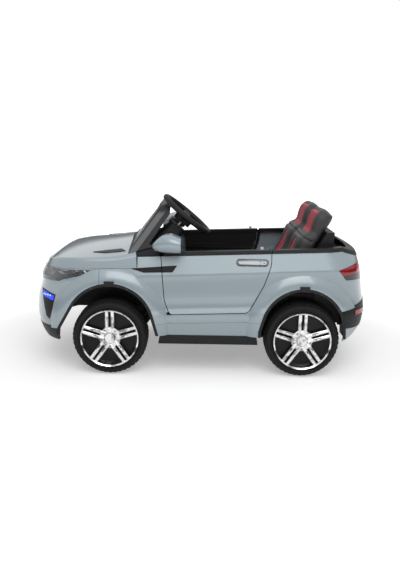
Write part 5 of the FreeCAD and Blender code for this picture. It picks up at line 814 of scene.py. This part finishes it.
PLATE_SHARES = ((-1.0, 0.0), (-0.94, 0.6), (-0.7, 1.0), (0.0, 1.15), (0.7, 1.0), (0.94, 0.6), (1.0, 0.0))
PLATE_SINK, PLATE_WALL = 0.0001, 0.0012
BOLT_CIRCLE = 0.0262
BOLT_STEPS = ((0.0030, -0.0004), (0.0030, 0.0016), (0.0025, 0.0022), (0.0012, 0.0022), (0.0010, 0.0012))


class CAR_OT_tyres(bpy.types.Operator):
    """Make the tyres: stepped sidewalls and rows of tread blocks"""

    bl_idname = "car.tyres"
    bl_label = "Tyres"

    def execute(self, context):
        sizes = context.scene.car_sizes
        rubber = MATERIALS["tyre"]
        for wheel, side in WHEELS:
            low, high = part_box("tyre_" + wheel)
            centre = (Vector(low) + Vector(high)) / 2
            width = high[1] - low[1]
            outer = centre.y + side * width / 2
            flank = [(radius, outer - side * inset) for radius, inset in TYRE_FLANK]
            flank += [(radius, outer - side * (width - inset)) for radius, inset in reversed(TYRE_FLANK)]
            carcass = to_mesh(turned(flank, centre, TYRE_STEPS), "carcass")
            blocks = repeat(
                "ring", self.block(sizes, width), Count=sizes.tread_blocks, Rows=sizes.tread_rows,
                Pitch=self.pitch(sizes, width), Centre=tuple(centre), Material=rubber,
            )
            mesh = joined("tyre", carcass, blocks)
            tyre = settled("moulded_tyre_" + wheel, mesh, rubber, "wheel_" + wheel, TYRE_SHARP)
            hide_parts("tyre_" + wheel)
        return {"FINISHED"}

    def pitch(self, sizes, width):
        """The step from row to row across the tread."""
        return (width - 2 * TYRE_FLANK[-1][1]) * TREAD_SPREAD / sizes.tread_rows

    def block(self, sizes, width):
        """One arrow-shaped tread block at the top of the tyre."""
        foot = TYRE_FLANK[-1][0] - TREAD_SINK
        long = math.pi * foot / sizes.tread_blocks * BLOCK_LENGTH_SHARE
        wide = self.pitch(sizes, width) * BLOCK_WIDTH_SHARE
        loops = []
        for height, share in BLOCK_HEIGHT_SHARES:
            level = foot + sizes.tread_height * height
            loops.append([(x * long * share, y * wide * share, level) for x, y in BLOCK_OUTLINE_SHARES])
        return to_mesh(looped(loops), "tread_block")


class CAR_OT_wheel_trim(bpy.types.Operator):
    """Make the raised spoke ends and the bolts of the wheel covers"""

    bl_idname = "car.wheel_trim"
    bl_label = "Wheel trim"

    def execute(self, context):
        chrome, dull = MATERIALS["chrome"], MATERIALS["bolt"]
        for wheel, side in WHEELS:
            low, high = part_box("tyre_" + wheel)
            axle = (Vector(low) + Vector(high)) / 2
            cover = node_surface("spoke_cover_" + wheel)
            ring = {"Count": SPOKES, "Rows": 1, "Pitch": 0.0, "Centre": (axle.x, 0.0, axle.z)}
            plates = [self.plate(cover, axle, side, across) for across in (-SPOKE_SET, SPOKE_SET)]
            mesh = repeat("ring", joined("plates", *plates), **ring, Material=chrome)
            settled("spoke_plates_" + wheel, mesh, chrome, "wheel_" + wheel, WHEEL_SHARP)
            mesh = repeat("ring", self.bolt(cover, axle, side), **ring, Material=dull)
            settled("wheel_bolts_" + wheel, mesh, dull, "wheel_" + wheel, WHEEL_SHARP)
        return {"FINISHED"}

    def plate(self, cover, axle, side, across):
        """A raised end on one spoke, from the hub to a point half way out."""
        loops = []
        for reach, half, lift in PLATE_STEPS:
            loop = []
            for share, rise in PLATE_SHARES:
                x = across + share * half
                place, _ = cover.from_side(side, axle.x + x, axle.z + reach)
                loop.append((x, place.y + side * (lift * rise - PLATE_SINK), reach))
            loop += [(x, y - side * PLATE_WALL, z) for x, y, z in reversed(loop)]
            loops.append(loop)
        return to_mesh(looped(loops), "plate")

    def bolt(self, cover, axle, side):
        """A six-sided bolt head in a lug seat."""
        angle = math.pi / SPOKES
        x, z = BOLT_CIRCLE * math.sin(angle), BOLT_CIRCLE * math.cos(angle)
        place, _ = cover.from_side(side, axle.x + x, axle.z + z)
        loops = []
        for radius, lift in BOLT_STEPS:
            y, turns = place.y + side * lift, round_steps(HEXAGON)
            loops.append([(x + radius * math.cos(turn), y, z + radius * math.sin(turn)) for turn in turns])
        return to_mesh(looped(loops), "bolt")


# Seats: heights on a seat back are shares of its length, and other places are in metres
SEAT_Y = 0.103
BACK_FOOT, BACK_RUN, BACK_LENGTH = (0.234, 0.2785), (0.5016, 0.8652), 0.2791
PANEL_FRONT, SEAM_FRONT = (-0.034, -0.030), -0.032
HEAD_SHARES, HEAD_HALVES = (0.665, 0.935), (0.055, 0.046)
WEDGE_TOP_SHARE, WEDGE_HALF, WEDGE_GROWTH = 0.545, 0.006, 0.150
NECK_SEAM_SHARE, BOLSTER_SEAM = 0.600, 0.068
CUSHION_PANEL, CUSHION_TOP_Z, CUSHION_SEAM_X = 0.050, (0.262, 0.266), 0.098
PANEL_SOFT, PANEL_SOFT_SHARE = 0.0004, 0.002
HEAD_SEAM_SHARE, NO_SEAM = 0.01, 1.0
BACK_FILL, CUSHION_FILL = 0.7, 0.6
SMOOTH_FACTOR, SMOOTH_STEPS = 0.5, 9
CLOTH_QUALITY, CLOTH_PRESSURE, CLOTH_FRAMES, CLOTH_LEAST = 4, 4.0, 20, 1e-9
STITCH_SET, STITCH_FOOT_SHARE, STITCH_END_SHARE = 0.0035, 0.16, 0.02
HEAD_STITCH_POINTS, BACK_STITCH_POINTS, CUSHION_STITCH_POINTS = 14, 18, 12
CUSHION_STITCH_INSETS = (0.022, 0.016)
AHEAD_OF_BACK, ABOVE_CUSHION = 0.12, 0.45
STITCH_SHARES = ((-1.0, 0.35), (-0.6, 0.9), (0.0, 1.0), (0.6, 0.9), (1.0, 0.35))
STITCH_LENGTH_SHARE, STITCH_BOW_SHARE, STITCH_FLAT_SHARE = 0.36, 0.5, 0.7


def seat_place(x, z):
    """A place on a seat back: share of its height, and depth ahead of its front line."""
    dx, dz = x - BACK_FOOT[0], z - BACK_FOOT[1]
    up = (dx * BACK_RUN[0] + dz * BACK_RUN[1]) * (1 / BACK_LENGTH)
    ahead = dz * BACK_RUN[0] - dx * BACK_RUN[1]
    return up, ahead


def head_half(up):
    """Half the width of the head panel at a height."""
    (low, high), (wide, narrow) = HEAD_SHARES, HEAD_HALVES
    return wide - (up - low) * ((wide - narrow) / (high - low))


def wedge_half(up):
    """Half the width of the wedge at a height."""
    return (WEDGE_TOP_SHARE - up) * WEDGE_GROWTH + WEDGE_HALF


def bolster_half(up):
    """Half the width between the bolsters, the same at every height."""
    return BOLSTER_SEAM


def back_panels(f):
    """Where a seat back is red: a head panel and a wedge below it, on the front."""
    up, ahead = seat_place(f.x, f.z)
    across = (f.y.size() - SEAT_Y).size()
    head = f.rise(head_half(up) - across, -PANEL_SOFT, PANEL_SOFT)
    wedge = f.rise(wedge_half(up) - across, -PANEL_SOFT, PANEL_SOFT)
    below = 1 - f.rise(up, WEDGE_TOP_SHARE - PANEL_SOFT_SHARE, WEDGE_TOP_SHARE + PANEL_SOFT_SHARE)
    panels = f.within(up, *HEAD_SHARES, PANEL_SOFT_SHARE) * head + wedge * below
    return panels.least(1.0) * f.rise(ahead, *PANEL_FRONT)


def cushion_panels(f):
    """Where the seat cushion is red: a broad strip for each sitter."""
    across = (f.y.size() - SEAT_Y).size()
    outside = f.rise(across, CUSHION_PANEL - PANEL_SOFT, CUSHION_PANEL + PANEL_SOFT)
    return (1 - outside) * f.rise(f.z, *CUSHION_TOP_Z)


def back_seams(x, y, z):
    """Distances of places on a seat back from its seams, as arrays; far where there is none."""
    up, ahead = seat_place(x, z)
    across = np.abs(np.abs(y) - SEAT_Y)
    far = np.full_like(x, NO_SEAM)
    edge = head_half(up)
    in_head = (up > HEAD_SHARES[0] - HEAD_SEAM_SHARE) & (up < HEAD_SHARES[1] + HEAD_SEAM_SHARE)
    lines = [np.where(in_head, np.abs(across - edge), far)]
    for share in HEAD_SHARES:
        lines.append(np.where(across < edge, np.abs(up - share) * BACK_LENGTH, far))
    lines.append(np.where(up < WEDGE_TOP_SHARE, np.abs(across - wedge_half(up)), far))
    lines.append(np.abs(up - NECK_SEAM_SHARE) * BACK_LENGTH)
    lines.append(np.where(up < NECK_SEAM_SHARE, np.abs(across - BOLSTER_SEAM), far))
    return np.where(ahead > SEAM_FRONT, np.minimum.reduce(lines), far)


def cushion_seams(x, y, z):
    """The same for the seat cushion."""
    across = np.abs(np.abs(y) - SEAT_Y)
    lines = [np.abs(across - CUSHION_PANEL), np.abs(y), np.abs(x - CUSHION_SEAM_X)]
    return np.where(z > CUSHION_TOP_Z[0], np.minimum.reduce(lines), NO_SEAM)


class CAR_OT_seats(bpy.types.Operator):
    """Make the padded seat backs and cushion, swollen as cloth, with sewn seams and stitches"""

    bl_idname = "car.seats"
    bl_label = "Seats"

    def execute(self, context):
        sizes = context.scene.car_sizes
        for hand, side in SIDES:
            name = "seat_back_" + hand
            mesh = self.pad(context, name, sizes, back_seams)
            self.settle(mesh, name, BACK_FILL, MATERIALS["seat_back"])
            self.stitches(sizes, "stitches_" + name, mesh, self.back_lines(side))
        mesh = self.pad(context, "seat_cushion", sizes, cushion_seams)
        self.settle(mesh, "seat_cushion", CUSHION_FILL, MATERIALS["cushion"])
        self.stitches(sizes, "stitches_seat_cushion", mesh, self.cushion_lines())
        return {"FINISHED"}

    def settle(self, mesh, node, fill, material):
        """Put a pad in its node's place."""
        pad = settled("padded_" + node, mesh, material, "body", PAD_SHARP)
        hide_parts(node)

    def modified(self, context, mesh, kind, **settings):
        """A mesh with one modifier applied."""
        obj = bpy.data.objects.new("pad_source", mesh)
        context.scene.collection.objects.link(obj)
        step = obj.modifiers.new("step", kind)
        for key, value in settings.items():
            setattr(step, key, value)
        context.view_layer.update()
        result = bpy.data.meshes.new_from_object(obj.evaluated_get(context.evaluated_depsgraph_get()))
        bpy.data.objects.remove(obj)
        return result

    def places(self, mesh, attribute="co"):
        """The places of a mesh's points as an array."""
        values = np.empty(len(mesh.vertices) * 3, dtype=np.float32)
        if attribute == "co":
            mesh.vertices.foreach_get("co", values)
        else:
            mesh.vertex_normals.foreach_get("vector", values)
        return values.reshape(-1, 3).astype(float)

    def put(self, mesh, places):
        """Move a mesh's points."""
        mesh.vertices.foreach_set("co", places.astype(np.float32).ravel())
        mesh.update()

    def pad(self, context, node, sizes, seams):
        """A pad in the form of a node: remeshed, drawn in, swollen by pressure, and sewn."""
        bm = bmesh.new()
        bm.from_mesh(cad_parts[node].data)
        mesh = to_mesh(bm, node)
        mesh = self.modified(context, mesh, "REMESH", mode="VOXEL", voxel_size=sizes.pad_voxel)
        mesh = self.modified(context, mesh, "SMOOTH", factor=SMOOTH_FACTOR, iterations=SMOOTH_STEPS)
        start = self.places(mesh) - self.places(mesh, "normal") * sizes.pad_start
        self.put(mesh, start)
        self.swell(context, mesh, start, sizes.pad_swell)
        mesh = self.modified(context, mesh, "SUBSURF", levels=1, render_levels=1)
        places = self.places(mesh)
        gap = seams(*places.T)
        depth = sizes.seam_depth * np.exp(-((gap / sizes.seam_width) ** 2))
        self.put(mesh, places - self.places(mesh, "normal") * depth[:, None])
        return mesh

    def swell(self, context, mesh, start, most):
        """Blow the pad up as cloth, each point by no more than a limit."""
        obj = bpy.data.objects.new("pad_cloth", mesh)
        context.scene.collection.objects.link(obj)
        step = obj.modifiers.new("cloth", "CLOTH")
        step.settings.quality = CLOTH_QUALITY
        step.settings.use_pressure = True
        step.settings.uniform_pressure_force = CLOTH_PRESSURE
        step.settings.effector_weights.gravity = 0.0
        step.point_cache.frame_start, step.point_cache.frame_end = 1, CLOTH_FRAMES
        for moment in range(1, CLOTH_FRAMES + 1):
            context.scene.frame_set(moment)
        result = obj.evaluated_get(context.evaluated_depsgraph_get()).to_mesh()
        move = self.places(result) - start
        reach = np.linalg.norm(move, axis=1, keepdims=True)
        bpy.data.objects.remove(obj)
        context.scene.frame_set(1)
        self.put(mesh, start + move * np.minimum(1.0, most / np.maximum(reach, CLOTH_LEAST)))

    def back_ray(self, side, up, across):
        """A ray square on to a seat back at a height and a distance from its middle, as (start, way)."""
        x = BACK_FOOT[0] + up * BACK_LENGTH * BACK_RUN[0] - AHEAD_OF_BACK * BACK_RUN[1]
        z = BACK_FOOT[1] + up * BACK_LENGTH * BACK_RUN[1] + AHEAD_OF_BACK * BACK_RUN[0]
        return (x, side * SEAT_Y + across, z), (BACK_RUN[1], 0, -BACK_RUN[0])

    def back_lines(self, side):
        """The sewn lines of a seat back as rays: beside the head panel, the wedge and the bolsters."""
        neck = NECK_SEAM_SHARE - STITCH_END_SHARE
        spans = (
            (np.linspace(*HEAD_SHARES, HEAD_STITCH_POINTS), head_half),
            (np.linspace(STITCH_FOOT_SHARE, WEDGE_TOP_SHARE, BACK_STITCH_POINTS), wedge_half),
            (np.linspace(STITCH_FOOT_SHARE, neck, BACK_STITCH_POINTS), bolster_half),
        )
        lines = []
        for edge in (-1, 1):
            for heights, half in spans:
                lines.append([self.back_ray(side, up, edge * (half(up) + STITCH_SET)) for up in heights])
        return lines

    def cushion_lines(self):
        """The same for the cushion, beside its panels."""
        low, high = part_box("seat_cushion")
        first, last = low[0] + CUSHION_STITCH_INSETS[0], high[0] - CUSHION_STITCH_INSETS[1]
        lines = []
        for middle in (-SEAT_Y, SEAT_Y):
            for edge in (-1, 1):
                y = middle + edge * (CUSHION_PANEL + STITCH_SET)
                places = np.linspace(first, last, CUSHION_STITCH_POINTS)
                lines.append([((x, y, ABOVE_CUSHION), (0, 0, -1)) for x in places])
        return lines

    def stitch(self, sizes):
        """One stitch along X, bowed over its seam."""
        half, thick = sizes.stitch_pitch * STITCH_LENGTH_SHARE, sizes.stitch_width
        loops = []
        for share, swell in STITCH_SHARES:
            centre = thick * STITCH_BOW_SHARE * (1 - share * share)
            wide, high = thick * swell, thick * swell * STITCH_FLAT_SHARE
            ring = [(wide * math.cos(turn), high * math.sin(turn)) for turn in round_steps(HEXAGON)]
            loops.append([(half * share, y, centre + z) for y, z in ring])
        return to_mesh(looped(loops), "stitch")

    def stitches(self, sizes, name, pad, lines):
        """Thread along the seams."""
        skin, thread = Surface(pad), MATERIALS["thread"]
        source = unit_object(self.stitch(sizes))
        meshes = []
        for line in lines:
            rows = [(*skin.hit(start, way), (1, 0, 0)) for start, way in line]
            meshes.append(repeat("line", spots(rows), Unit=source, Step=sizes.stitch_pitch, Material=thread))
        bpy.data.objects.remove(source)
        settled(name, joined("stitches", *meshes), thread, "body", STITCH_SHARP)


# Trim
HANDLE_SHARES = (
    0.0, 0.008, 0.025, 0.06, 0.12, 0.22, 0.34, 0.46, 0.58, 0.70, 0.80, 0.88, 0.94, 0.975, 0.992, 1.0,
)
HANDLE_SECTION_SHARES = (
    (-1.0, 0.0), (-0.98, 0.45), (-0.86, 0.80), (-0.5, 0.97), (0.0, 1.0),
    (0.5, 0.97), (0.86, 0.80), (0.98, 0.45), (1.0, 0.0),
)
HANDLE_LIFT, HANDLE_SINK, HANDLE_WALL = 0.0034, 0.0002, 0.0010
HANDLE_ROUND, HANDLE_ROUND_SHARE = 0.008, 0.30
HANDLE_RAMP, HANDLE_RAMP_SHARE = 0.010, 0.25
HANDLE_TAPER_SHARE, HANDLE_TAPER_RATE = 0.80, 2.2


class CAR_OT_handles(bpy.types.Operator):
    """Make the door handles"""

    bl_idname = "car.handles"
    bl_label = "Door handles"

    def execute(self, context):
        for hand, side in SIDES:
            skin = node_surface("door_" + hand)
            mesh = to_mesh(looped([self.section(skin, side, share) for share in HANDLE_SHARES]), "handle")
            settled("handle_" + hand, mesh, MATERIALS["handle"], "door_" + hand, TRIM_SHARP)
        return {"FINISHED"}

    def section(self, skin, side, share):
        """A loop round the handle at a share of its length: round at its ends and slimmer at the front."""
        span = HANDLE_X[1] - HANDLE_X[0]
        x, end = HANDLE_X[0] + span * share, min(share, 1 - share) * span
        bend = HANDLE_ROUND_SHARE + (1 - HANDLE_ROUND_SHARE) * math.sqrt(min(1.0, end / HANDLE_ROUND))
        taper = HANDLE_TAPER_SHARE + (1 - HANDLE_TAPER_SHARE) * min(1.0, share * HANDLE_TAPER_RATE)
        half = HANDLE_HALF * min(1.0, bend) * taper
        lift = HANDLE_LIFT * min(1.0, HANDLE_RAMP_SHARE + end / HANDLE_RAMP)
        loop = []
        for across, rise in HANDLE_SECTION_SHARES:
            place, _ = skin.from_side(side, x, HANDLE_Z + across * half)
            loop.append((x, place.y + side * (lift * rise - HANDLE_SINK), place.z))
        return loop + [(x, y - side * HANDLE_WALL, z) for x, y, z in reversed(loop)]


DOOR_EDGE = (
    (-0.050, 0.1910), (0.060, 0.1955), (0.138, 0.1992), (0.1475, 0.2010), (0.1560, 0.2080),
    (0.1690, 0.2330), (0.1830, 0.2600), (0.1930, 0.2800), (0.2010, 0.3010), (0.2075, 0.3220),
    (0.2120, 0.3400), (0.2145, 0.3520), (0.2150, 0.3660), (0.2165, 0.3740), (0.2170, 0.3815),
    (0.2172, 0.3880),
)
SKIN_TOP = 0.3795
SEAL_PROBES = (-0.006, 0.008)
SEAL_SECTION = (
    (-0.0035, 0.0052), (0.0, 0.0047), (0.0060, 0.0047), (0.0075, 0.0052), (0.0075, 0.0075), (-0.0035, 0.0075),
)


class CAR_OT_door_seals(bpy.types.Operator):
    """Make the rubber seals behind the foot and rear edge of the doors"""

    bl_idname = "car.door_seals"
    bl_label = "Door seals"

    def execute(self, context):
        for hand, side in SIDES:
            skin = node_surface("door_" + hand, "body_side_" + hand)
            loops = [self.section(skin, side, step) for step in range(len(DOOR_EDGE))]
            mesh = to_mesh(looped(loops), "seal")
            settled("door_seal_" + hand, mesh, MATERIALS["tyre"], "body", TRIM_SHARP)
        return {"FINISHED"}

    def section(self, skin, side, step):
        """A loop round the seal at a point of the door's edge, behind the door and the body side."""
        x, z = DOOR_EDGE[step]
        before, after = DOOR_EDGE[max(step - 1, 0)], DOOR_EDGE[min(step + 1, len(DOOR_EDGE) - 1)]
        run = Vector((after[0] - before[0], 0, after[1] - before[1])).normalized()
        out = Vector((run.z, 0, -run.x))
        probes = [(x + out.x * reach, min(z + out.z * reach, SKIN_TOP)) for reach in SEAL_PROBES]
        depth = min(abs(skin.from_side(side, *probe)[0].y) for probe in probes)
        return [(x + out.x * reach, side * (depth - deep), z + out.z * reach) for reach, deep in SEAL_SECTION]


LAMP_FACING, LAMP_FACING_LEAST = 0.7, 0.6
DOT_SHARES = (0.22, 0.40, 0.58, 0.76)
DOT_PROFILE = ((0.0027, 0.0), (0.0025, 0.0009), (0.0016, 0.0016), (0.0006, 0.0019))
DOT_RAISE, DOT_SINK, AHEAD_OF_LAMP = 0.001, 0.0003, 0.05


class CAR_OT_lamp_dots(bpy.types.Operator):
    """Make the lit points of the daytime lamps"""

    bl_idname = "car.lamp_dots"
    bl_label = "Lamp dots"

    def execute(self, context):
        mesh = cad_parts["fog_leds"].data
        skin = Surface(mesh)
        rows = []
        for _, side in SIDES:
            places = np.array([tuple(v.co) for v in mesh.vertices if v.co.y * side > 0])
            ahead = Vector((-LAMP_FACING, side * LAMP_FACING, 0))
            near = [face for face in mesh.polygons if face.center.y * side > 0]
            front = [face for face in near if face.normal.dot(ahead) > LAMP_FACING_LEAST]
            out = sum((face.normal * face.area for face in front), Vector()).normalized()
            middle = (places.min(axis=0) + places.max(axis=0)) / 2
            way = Vector((-out.y, out.x, 0)).normalized()
            reach = [Vector(place - middle).dot(way) for place in places]
            for share in DOT_SHARES:
                along = min(reach) + (max(reach) - min(reach)) * share
                start = Vector(middle) + way * along + out * AHEAD_OF_LAMP + Vector((0, 0, DOT_RAISE))
                place, facing = skin.hit(start, -out)
                rows.append((place - facing * DOT_SINK, facing, way))
        scattered("lamp_dots", button(DOT_PROFILE), rows, MATERIALS["lamp_dot"], "body")
        return {"FINISHED"}


LINER_Z, LINER_RADIUS = 0.151, {"front": 0.1322, "rear": 0.1252}
SCREW_DEGREES = (-58, -24, 24, 58)
SCREW_PROFILE = ((0.0031, -0.0002), (0.0031, 0.0006), (0.0025, 0.0011), (0.0013, 0.0012), (0.0011, 0.0006))


class CAR_OT_screws(bpy.types.Operator):
    """Put screws along the arch liners"""

    bl_idname = "car.screws"
    bl_label = "Screws"

    def execute(self, context):
        rows = []
        liners = node_surface("arch_liners")
        for end, radius in LINER_RADIUS.items():
            low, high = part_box("tyre_%s_left" % end)
            axle_x = (low[0] + high[0]) / 2
            for _, side in SIDES:
                for degrees in SCREW_DEGREES:
                    angle = math.radians(degrees)
                    x, z = axle_x + radius * math.sin(angle), LINER_Z + radius * math.cos(angle)
                    rows.append((*liners.from_side(side, x, z), (0, 0, 1)))
        unit = button(SCREW_PROFILE)
        scattered("liner_screws", unit, rows, MATERIALS["gloss_black"], "body")
        return {"FINISHED"}


# Stage: places and sizes in metres
SENSOR_MM = 36.0
TOP_PLACE, TOP_SIZE = (0.0, -0.3, 2.6), 3.0
KEY_PLACE, KEY_SIZE = (0.2, -2.4, 2.3), 2.0
LIGHT_AIM = (0.0, 0.0, 0.2)
WHITE, FLOOR_GREY = (1, 1, 1, 1), (0.86, 0.86, 0.86, 1)
WALL_RADIUS, WALL_STEPS, WALL_HEIGHTS = 7, 48, (-0.2, 1.3, 1.9)
WALL_GLOW_Z, WALL_GLOW, WALL_DIM = (0.9, 1.9), 0.9, 0.06
FLOOR_REACH, FLOOR_Z = 14.0, -0.0006
# The floor's glow is weaker inside an ellipse round the car: painted shade round the car, the floor growing
# white further out.
SHADE_POOL_REACH, SHADE_POOL_EDGE = (0.85, 0.75), (0.85, 1.7)
OPEN_FLOOR_GLOW, SHADE_POOL_DIM = 0.62, 0.34


class CAR_OT_stage(bpy.types.Operator):
    """Make the floor, the light and the camera"""

    bl_idname = "car.stage"
    bl_label = "Stage"

    def execute(self, context):
        s = context.scene.car_stage
        scene = context.scene
        scene.view_settings.view_transform = "Standard"
        self.camera(scene, s)
        self.light(scene, "top_light", TOP_PLACE, s.top_power, TOP_SIZE)
        self.light(scene, "key_light", KEY_PLACE, s.key_power, KEY_SIZE)
        self.sky(scene, s.sky)
        self.floor(scene)
        self.horizon(scene)
        return {"FINISHED"}

    def camera(self, scene, s):
        """The camera, turned, tilted and leaned as the settings say."""
        level = math.cos(s.pitch)
        forward = Vector((-math.sin(s.yaw) * level, math.cos(s.yaw) * level, -math.sin(s.pitch)))
        right = Vector((math.cos(s.yaw), math.sin(s.yaw), 0))
        up = right.cross(forward)
        across = right * math.cos(s.roll) + up * math.sin(s.roll)
        upward = up * math.cos(s.roll) - right * math.sin(s.roll)
        turn = Matrix((across, upward, -forward)).transposed().to_4x4()
        data = bpy.data.cameras.new("camera")
        data.lens, data.sensor_width, data.sensor_fit = s.lens, SENSOR_MM, "AUTO"
        camera = bpy.data.objects.new("camera", data)
        camera.matrix_world = Matrix.Translation(Vector(s.place)) @ turn
        scene.collection.objects.link(camera)
        scene.camera = camera

    def light(self, scene, label, place, power, size):
        """A square soft box aimed at the car."""
        lamp = bpy.data.lights.new(label, "AREA")
        lamp.energy, lamp.size = power, size
        light = bpy.data.objects.new(label, lamp)
        turn = (Vector(LIGHT_AIM) - Vector(place)).to_track_quat("-Z", "Y")
        light.matrix_world = Matrix.Translation(place) @ turn.to_matrix().to_4x4()
        scene.collection.objects.link(light)

    def seen(self, graph):
        """1 for rays that look at the stage itself, straight, mirrored or through a lens."""
        path = graph.node("ShaderNodeLightPath").socket.node
        rays = ("Is Camera Ray", "Is Glossy Ray", "Is Transmission Ray")
        camera, glossy, through = (Wire(graph, path.outputs[ray]) for ray in rays)
        return camera.most(glossy).most(through)

    def sky(self, scene, strength):
        """White where it is seen, and even soft light elsewhere."""
        world = bpy.data.worlds.new("studio")
        scene.world = world
        world.use_nodes = True
        graph = Graph(world.node_tree)
        world.node_tree.nodes.clear()
        bright = self.seen(graph) * (1 - strength) + strength
        shader = graph.node("ShaderNodeBackground", None, {"Color": WHITE, "Strength": bright})
        output = world.node_tree.nodes.new("ShaderNodeOutputWorld")
        world.node_tree.links.new(shader.socket, output.inputs["Surface"])

    def horizon(self, scene):
        """A dark studio wall all round that only reflections show."""
        loops = []
        for height in WALL_HEIGHTS:
            ring = [(math.cos(turn), math.sin(turn)) for turn in round_steps(WALL_STEPS)]
            loops.append([(WALL_RADIUS * x, WALL_RADIUS * y, height) for x, y in ring])
        wall = bpy.data.objects.new("horizon", to_mesh(looped(loops, False), "horizon"))
        scene.collection.objects.link(wall)
        f = Finish("horizon")
        glow = f.rise(f.z, *WALL_GLOW_Z) * WALL_GLOW + WALL_DIM
        dress(wall, f.done(f.node("ShaderNodeEmission", None, {"Color": WHITE, "Strength": glow})))
        for ray in ("camera", "diffuse", "shadow", "transmission", "volume_scatter"):
            setattr(wall, "visible_" + ray, False)

    def floor(self, scene):
        """Pale floor that keeps the car's shadow; its glow is weaker round the car, which paints a pool of
        shade there, and grows white away from the car.
        """
        mesh = bpy.data.meshes.new("floor")
        signs = ((-1, -1), (1, -1), (1, 1), (-1, 1))
        corners = [(x * FLOOR_REACH, y * FLOOR_REACH, FLOOR_Z) for x, y in signs]
        mesh.from_pydata(corners, [], [(0, 1, 2, 3)])
        floor = bpy.data.objects.new("floor", mesh)
        scene.collection.objects.link(floor)
        f = Finish("floor")
        lit = f.node("ShaderNodeBsdfDiffuse", None, {"Color": FLOOR_GREY})
        away = f.apart(f.x / SHADE_POOL_REACH[0], f.y / SHADE_POOL_REACH[1])
        # Painted shade: the glow fades in towards the car.
        bright = self.seen(f) * (f.rise(away, *SHADE_POOL_EDGE) * OPEN_FLOOR_GLOW + SHADE_POOL_DIM)
        lift = f.node("ShaderNodeEmission", None, {"Color": WHITE, "Strength": bright})
        dress(floor, f.done(f.node("ShaderNodeAddShader", None, {0: lit, 1: lift})))


class CAR_PT_panel(bpy.types.Panel):
    """Lists the steps that dress the car"""

    bl_idname = "CAR_PT_panel"
    bl_label = "Ride-on car"
    bl_space_type = "VIEW_3D"
    bl_region_type = "UI"
    bl_category = "Ride-on car"

    def draw(self, context):
        for group in (context.scene.car_finish, context.scene.car_sizes, context.scene.car_stage):
            box = self.layout.box()
            for key in group.bl_rna.properties.keys():
                if key not in ("rna_type", "name"):
                    box.prop(group, key)
        for step in STEPS:
            self.layout.operator(step.bl_idname)


STEPS = (
    CAR_OT_finishes, CAR_OT_tyres, CAR_OT_wheel_trim, CAR_OT_seats, CAR_OT_handles, CAR_OT_door_seals,
    CAR_OT_lamp_dots, CAR_OT_screws, CAR_OT_stage,
)
GROUPS = {"car_finish": CarFinish, "car_sizes": CarSizes, "car_stage": CarStage}


def register():
    """Register the settings, the steps and the panel."""
    for key, group in GROUPS.items():
        bpy.utils.register_class(group)
        setattr(bpy.types.Scene, key, PointerProperty(type=group))
    for step in (*STEPS, CAR_PT_panel):
        bpy.utils.register_class(step)


def unregister():
    """Take them out again."""
    for step in reversed((*STEPS, CAR_PT_panel)):
        bpy.utils.unregister_class(step)
    for key, group in GROUPS.items():
        delattr(bpy.types.Scene, key)
        bpy.utils.unregister_class(group)


def main():
    """Dress the car step by step."""
    register()
    for step in STEPS:
        area, name = step.bl_idname.split(".")
        getattr(getattr(bpy.ops, area), name)()


if __name__ == "__main__":
    main()
